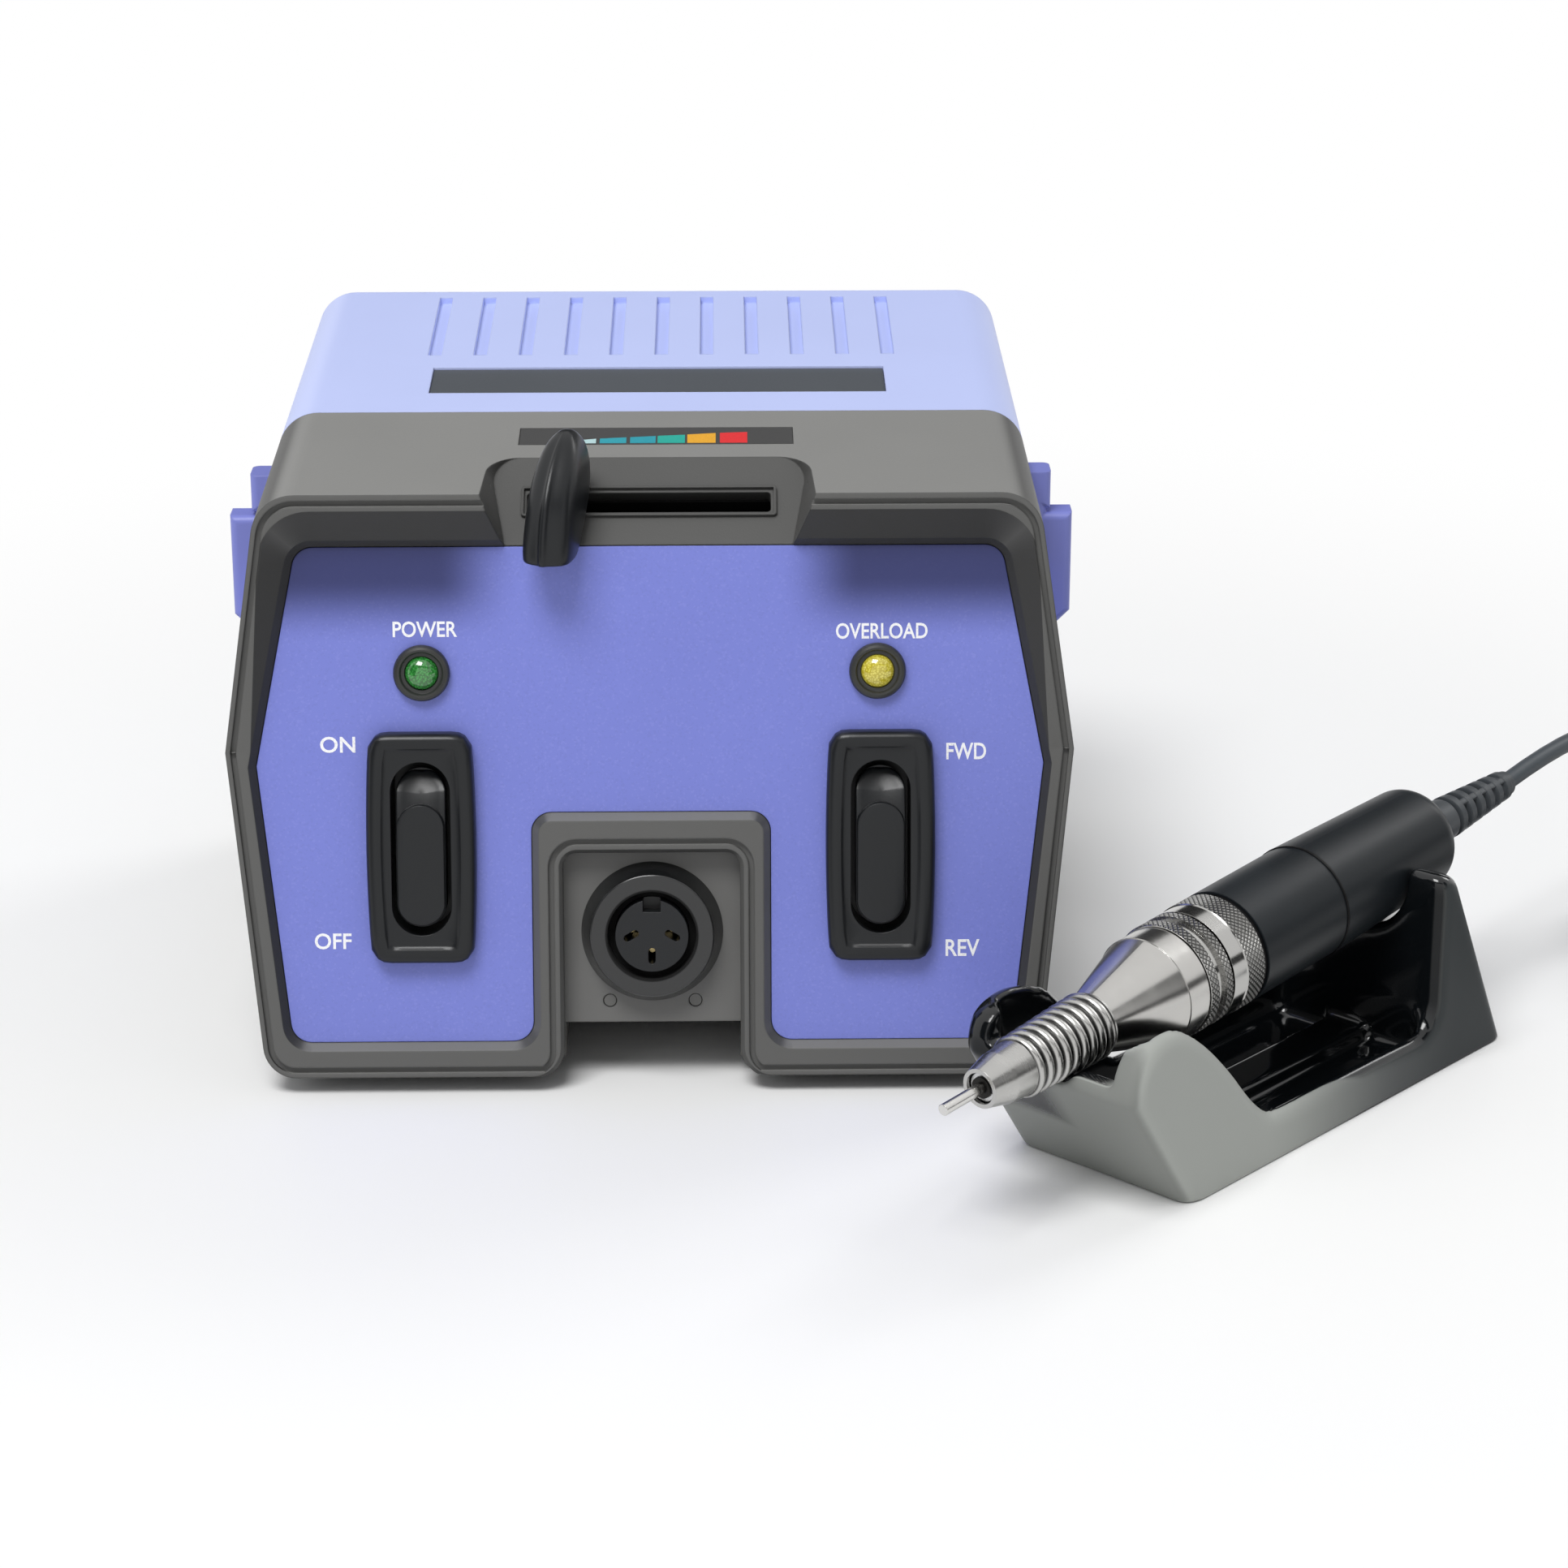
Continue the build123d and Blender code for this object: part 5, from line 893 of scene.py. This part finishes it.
# The cradle: the CAD piece's own form, its edges softened
cradleSoft = {"voxel": 0.0007, "rounds": 12, "factor": 0.5, "knee": 0.034, "lower": 0.42}


def makeCradle(v):
    piece = nodes["cradle"].copy()
    piece.data = nodes["cradle"].data.copy()
    piece.parent = None
    piece.matrix_world = Matrix.Identity(4)
    bpy.context.scene.collection.objects.link(piece)
    piece.data.transform(Matrix.Rotation(-handTurn, 4, "Z"))  # so that the grid lies along the cradle
    pickOnly(piece)
    bpy.ops.object.mode_set(mode="EDIT")
    bpy.ops.mesh.select_all(action="SELECT")
    bpy.ops.mesh.remove_doubles(threshold=0.00001)
    bpy.ops.object.mode_set(mode="OBJECT")
    blocks = piece.modifiers.new("blocks", "REMESH")
    blocks.mode = "VOXEL"
    blocks.voxel_size = v["voxel"]
    bpy.ops.object.modifier_apply(modifier="blocks")
    easing = piece.modifiers.new("ease", "SMOOTH")
    easing.iterations = v["rounds"]
    easing.factor = v["factor"]
    bpy.ops.object.modifier_apply(modifier="ease")
    middle = (Matrix.Rotation(-handTurn, 4, "Z") @ cradleFront).y
    for vertex in piece.data.vertices:  # the far post stays hidden behind the handpiece
        if vertex.co.y > middle and vertex.co.z > v["knee"]:
            vertex.co.z -= (vertex.co.z - v["knee"]) * v["lower"]
    piece.data.transform(Matrix.Rotation(handTurn, 4, "Z"))
    return piece


cradlePiece = settle(makeCradle(cradleSoft), "cradleShell", finishes["cradle_grey"], angle=80.0)
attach(cradlePiece, "set")
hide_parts("cradle")
print("cradle softened,", len(cradlePiece.data.polygons), "faces")

# Lamps: a rolled ring and a domed lens in it
lampSizes = {
    "x": 0.0472, "up": 0.0855, "points": 48,
    "ring": (  # radius, how far out of the panel
        (0.0058, -0.0022), (0.0059, -0.0012), (0.0058, -0.0006), (0.0055, -0.0002), (0.0050, 0.0),
        (0.0046, -0.0001), (0.0043, -0.0005), (0.00425, -0.0008), (0.0040, -0.0009), (0.0036, -0.0009),
        (0.00345, -0.0012), (0.0034, -0.003),
    ),
    "lens": (
        (0.0034, -0.0028), (0.0034, -0.0012), (0.0032, -0.0007), (0.0028, -0.0003), (0.0021, 0.0002),
        (0.0013, 0.0005), (0.0006, 0.0006),
    ),
}


def circles(profile, points):
    turns = [2 * pi * k / points for k in range(points)]
    return [[(radius * cos(turn), radius * sin(turn), out) for turn in turns] for radius, out in profile]


def makeLamp(name, side, finish, node, v):
    place = panelPlace(side * v["x"], v["up"])
    rolled = lofted(circles(v["ring"], v["points"]))
    ring = settle(rolled, name + "Ring", lampRing, place, angle=30.0)
    dome = lofted(circles(v["lens"], v["points"]), closedEnd=True)
    lens = settle(dome, name + "Lens", finish, place, angle=60.0)
    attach(ring, "set")
    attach(lens, "set")
    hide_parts(node)
    return ring


lampRing = moulded(
    "lampRing", (0.03, 0.031, 0.03), 0.34, grain=0.0004, depth=0.00001, shade=0.06, edge=0.0, gloss=0.4
)
rings = [
    makeLamp("power", -1, finishes["lens_green"], "power_lens", lampSizes),
    makeLamp("overload", 1, finishes["lens_yellow"], "overload_lens", lampSizes),
]
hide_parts("lamp_holders")
print("lamps made")

# Words on the panel, each with its middle, foot, width and height in millimetres
words = {
    "POWER": (-46.4, 92.9, 13.3, 3.3), "OVERLOAD": (48.1, 92.1, 19.0, 3.3), "ON": (-64.9, 68.8, 7.3, 3.4),
    "OFF": (-66.7, 27.2, 7.7, 3.4), "FWD": (65.7, 66.7, 8.3, 3.5), "REV": (65.1, 24.9, 7.1, 3.6),
}
letter = {"size": 0.004, "resolution": 4, "swell": 0.00006, "thick": 0.00003, "out": -0.00197}
whiteInk = printed("whiteInk", (0.95, 0.95, 0.97))


def lettering(word, middle, foot, width, height, v):
    clearPick()
    bpy.ops.object.text_add()
    piece = bpy.context.object
    piece.data.body = word
    piece.data.size = v["size"]
    piece.data.resolution_u = v["resolution"]
    piece.data.offset = v["swell"]
    piece.data.extrude = v["thick"]
    bpy.ops.object.convert(target="MESH")
    piece = bpy.context.object
    xs = [vertex.co.x for vertex in piece.data.vertices]
    ys = [vertex.co.y for vertex in piece.data.vertices]
    wide, tall = width / 1000 / (max(xs) - min(xs)), height / 1000 / (max(ys) - min(ys))
    piece.data.transform(Matrix.Translation((-(max(xs) + min(xs)) / 2, -min(ys), 0.0)))
    piece.data.transform(Matrix.Diagonal((wide, tall, 1.0, 1.0)))
    place = panelPlace(middle / 1000, foot / 1000, v["out"])
    settle(piece, "word" + word.capitalize(), whiteInk, place, angle=20.0)
    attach(piece, "set")


for word, sizes in words.items():
    lettering(word, *sizes, letter)
print("words lettered")

# The colour scale's steps in millimetres: from, to, height at the left and at the right, and the colour
scaleSteps = {
    "scalePale": (-19.8, -11.4, 0.7, 2.9, (0.5, 0.72, 0.74)),
    "scaleCyan": (-10.6, -5.0, 3.0, 3.7, (0.03, 0.36, 0.44)),
    "scaleSea": (-4.2, 1.2, 3.8, 4.5, (0.025, 0.34, 0.42)),
    "scaleTeal": (1.6, 7.4, 4.6, 5.3, (0.02, 0.42, 0.34)),
    "scaleYellow": (7.9, 13.9, 5.4, 6.3, (0.85, 0.42, 0.03)),
    "scaleRed": (14.8, 20.6, 6.4, 6.9, (0.78, 0.03, 0.035)),
}
scaleBack, scaleThick = 31.7, 0.00005
label = nodes["speed_scale"].data.vertices
labelTop = max(v.co.z - (v.co.y - topEdge.y) * sin(topRise) / cos(topRise) for v in label)
labelPlace = basis(
    onTop(0.0, 0.0, (labelTop - topEdge.z) * cos(topRise)), panelRight,
    (0.0, cos(topRise), sin(topRise)), (0.0, -sin(topRise), cos(topRise)),
)
for name, (start, end, low, high, colour) in scaleSteps.items():
    clearPick()
    bpy.ops.mesh.primitive_plane_add(size=1.0)
    piece = bpy.context.object
    for corner in piece.data.vertices:
        across, tall = (end, high) if corner.co.x > 0 else (start, low)
        corner.co = (across / 1000, (scaleBack + (tall if corner.co.y > 0 else 0.0)) / 1000, 0.0)
    bpy.ops.object.mode_set(mode="EDIT")
    bpy.ops.mesh.select_all(action="SELECT")
    bpy.ops.mesh.extrude_region_move(TRANSFORM_OT_translate={"value": (0.0, 0.0, scaleThick)})
    bpy.ops.object.mode_set(mode="OBJECT")
    settle(piece, name, printed(name, colour, rough=0.35), labelPlace, angle=20.0)
    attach(piece, "set")
print("colour scale laid")

# Floor, light and the cards that the metal shows
studio = {"world": 0.34, "floorFar": 0.5, "floorNear": 0.18, "floorSize": 14.0, "floorMiddle": 2.0}

clearPick()
bpy.ops.mesh.primitive_plane_add(size=studio["floorSize"], location=(0.0, studio["floorMiddle"], 0.0))
floor = bpy.context.object
floor.name = "floor"
bpy.ops.object.transform_apply(location=True)
floorFinish = Finish("paleFloor")
floorColour = floorFinish.mix(floorFinish.noise(0.3, 2.0), (0.965, 0.965, 0.96), (0.97, 0.97, 0.965))
floorFinish.set(colour=floorColour, rough=0.5, gloss=0.3)
floor.data.materials.append(floorFinish.material)
away = floorFinish.node("VectorMath", {"operation": "LENGTH"}, {0: floorFinish.place}, out="Value")
fades = floorFinish.smooth(away, studio["floorNear"], studio["floorFar"])  # plain white far from the set
sight = floorFinish.node("LightPath", out="Is Camera Ray")
sight = sight + floorFinish.node("LightPath", out="Is Glossy Ray")
pale = floorFinish.node("Emission", {}, {"Color": (1.0, 1.0, 1.0), "Strength": 1.0})
lit = Wire(floorFinish, floorFinish.shader.outputs[0])
blendedFloor = floorFinish.node("MixShader", {}, {0: fades * sight, 1: lit, 2: pale})
floorFinish.plug(floorFinish.end.inputs["Surface"], blendedFloor)

# The world: soft for the light, white where it is seen or mirrored
world = bpy.data.worlds.new("studio")
bpy.context.scene.world = world
world.use_nodes = True
world.node_tree.nodes.clear()


def worldNode(kind, values):
    made = world.node_tree.nodes.new("ShaderNode" + kind)
    for name, value in values.items():
        if isinstance(value, bpy.types.NodeSocket):
            world.node_tree.links.new(value, made.inputs[name])
        else:
            made.inputs[name].default_value = value
    return made


rays = worldNode("LightPath", {}).outputs
seen = worldNode("Math", {0: rays["Is Camera Ray"], 1: rays["Is Glossy Ray"]})
seenAll = worldNode("Math", {0: seen.outputs[0], 1: rays["Is Transmission Ray"]})
seen.operation = seenAll.operation = "ADD"
seenAll.use_clamp = True
soft = worldNode("Background", {"Color": (0.97, 0.98, 1.0, 1.0), "Strength": studio["world"]})
white = worldNode("Background", {"Color": (1.0, 1.0, 1.0, 1.0), "Strength": 1.0})
choice = worldNode("MixShader", {0: seenAll.outputs[0], 1: soft.outputs[0], 2: white.outputs[0]})
worldNode("OutputWorld", {"Surface": choice.outputs[0]})


def aimed(place, aim):
    return (Vector(aim) - Vector(place)).to_track_quat("-Z", "Y").to_euler()


lamps = {  # place, aim, width, height, power
    "keyLamp": ((-0.55, -1.05, 2.2), (0.0, 0.0, 0.05), 1.2, 0.9, 42.0),
    "fillLamp": ((-1.1, -0.9, 0.7), (0.0, 0.0, 0.06), 0.7, 0.7, 1.6),
    "rimLamp": ((1.0, 0.9, 0.9), (0.05, 0.0, 0.05), 0.6, 0.6, 5.0),
}
for name, (place, aim, width, height, power) in lamps.items():
    clearPick()
    bpy.ops.object.light_add(type="AREA", location=place, rotation=aimed(place, aim))
    lamp = bpy.context.object
    lamp.name = name
    lamp.data.shape = "RECTANGLE"
    lamp.data.size, lamp.data.size_y = width, height
    lamp.data.energy = power

cards = {  # place, aim, width, height
    "cardLeft": ((-0.55, -0.45, 0.25), (0.05, -0.08, 0.04), 0.5, 0.7),
    "cardRight": ((0.75, -0.35, 0.35), (0.05, -0.08, 0.04), 0.35, 0.6),
    "cardBack": ((0.2, 0.75, 0.45), (0.05, -0.05, 0.04), 1.1, 0.5),
    "cardFront": ((0.05, -0.85, 0.8), (0.07, -0.1, 0.05), 1.4, 0.2),
    "cardLow": ((1.05, -0.35, 0.17), (0.08, -0.08, 0.06), 1.8, 0.2),
}
cardFinish = Finish("darkCard")
cardColour = cardFinish.mix(cardFinish.noise(0.2), (0.02, 0.02, 0.021), (0.03, 0.03, 0.03))
cardFinish.set(colour=cardColour, rough=0.9)
for name, (place, aim, width, height) in cards.items():
    clearPick()
    bpy.ops.mesh.primitive_plane_add(size=1.0, location=place, rotation=aimed(place, aim))
    card = bpy.context.object
    card.name = name
    card.scale = (width, height, 1.0)
    card.data.materials.append(cardFinish.material)
    card.visible_camera = card.visible_diffuse = card.visible_shadow = card.visible_transmission = False
bpy.context.scene.view_settings.view_transform = "Standard"
print("studio lit")
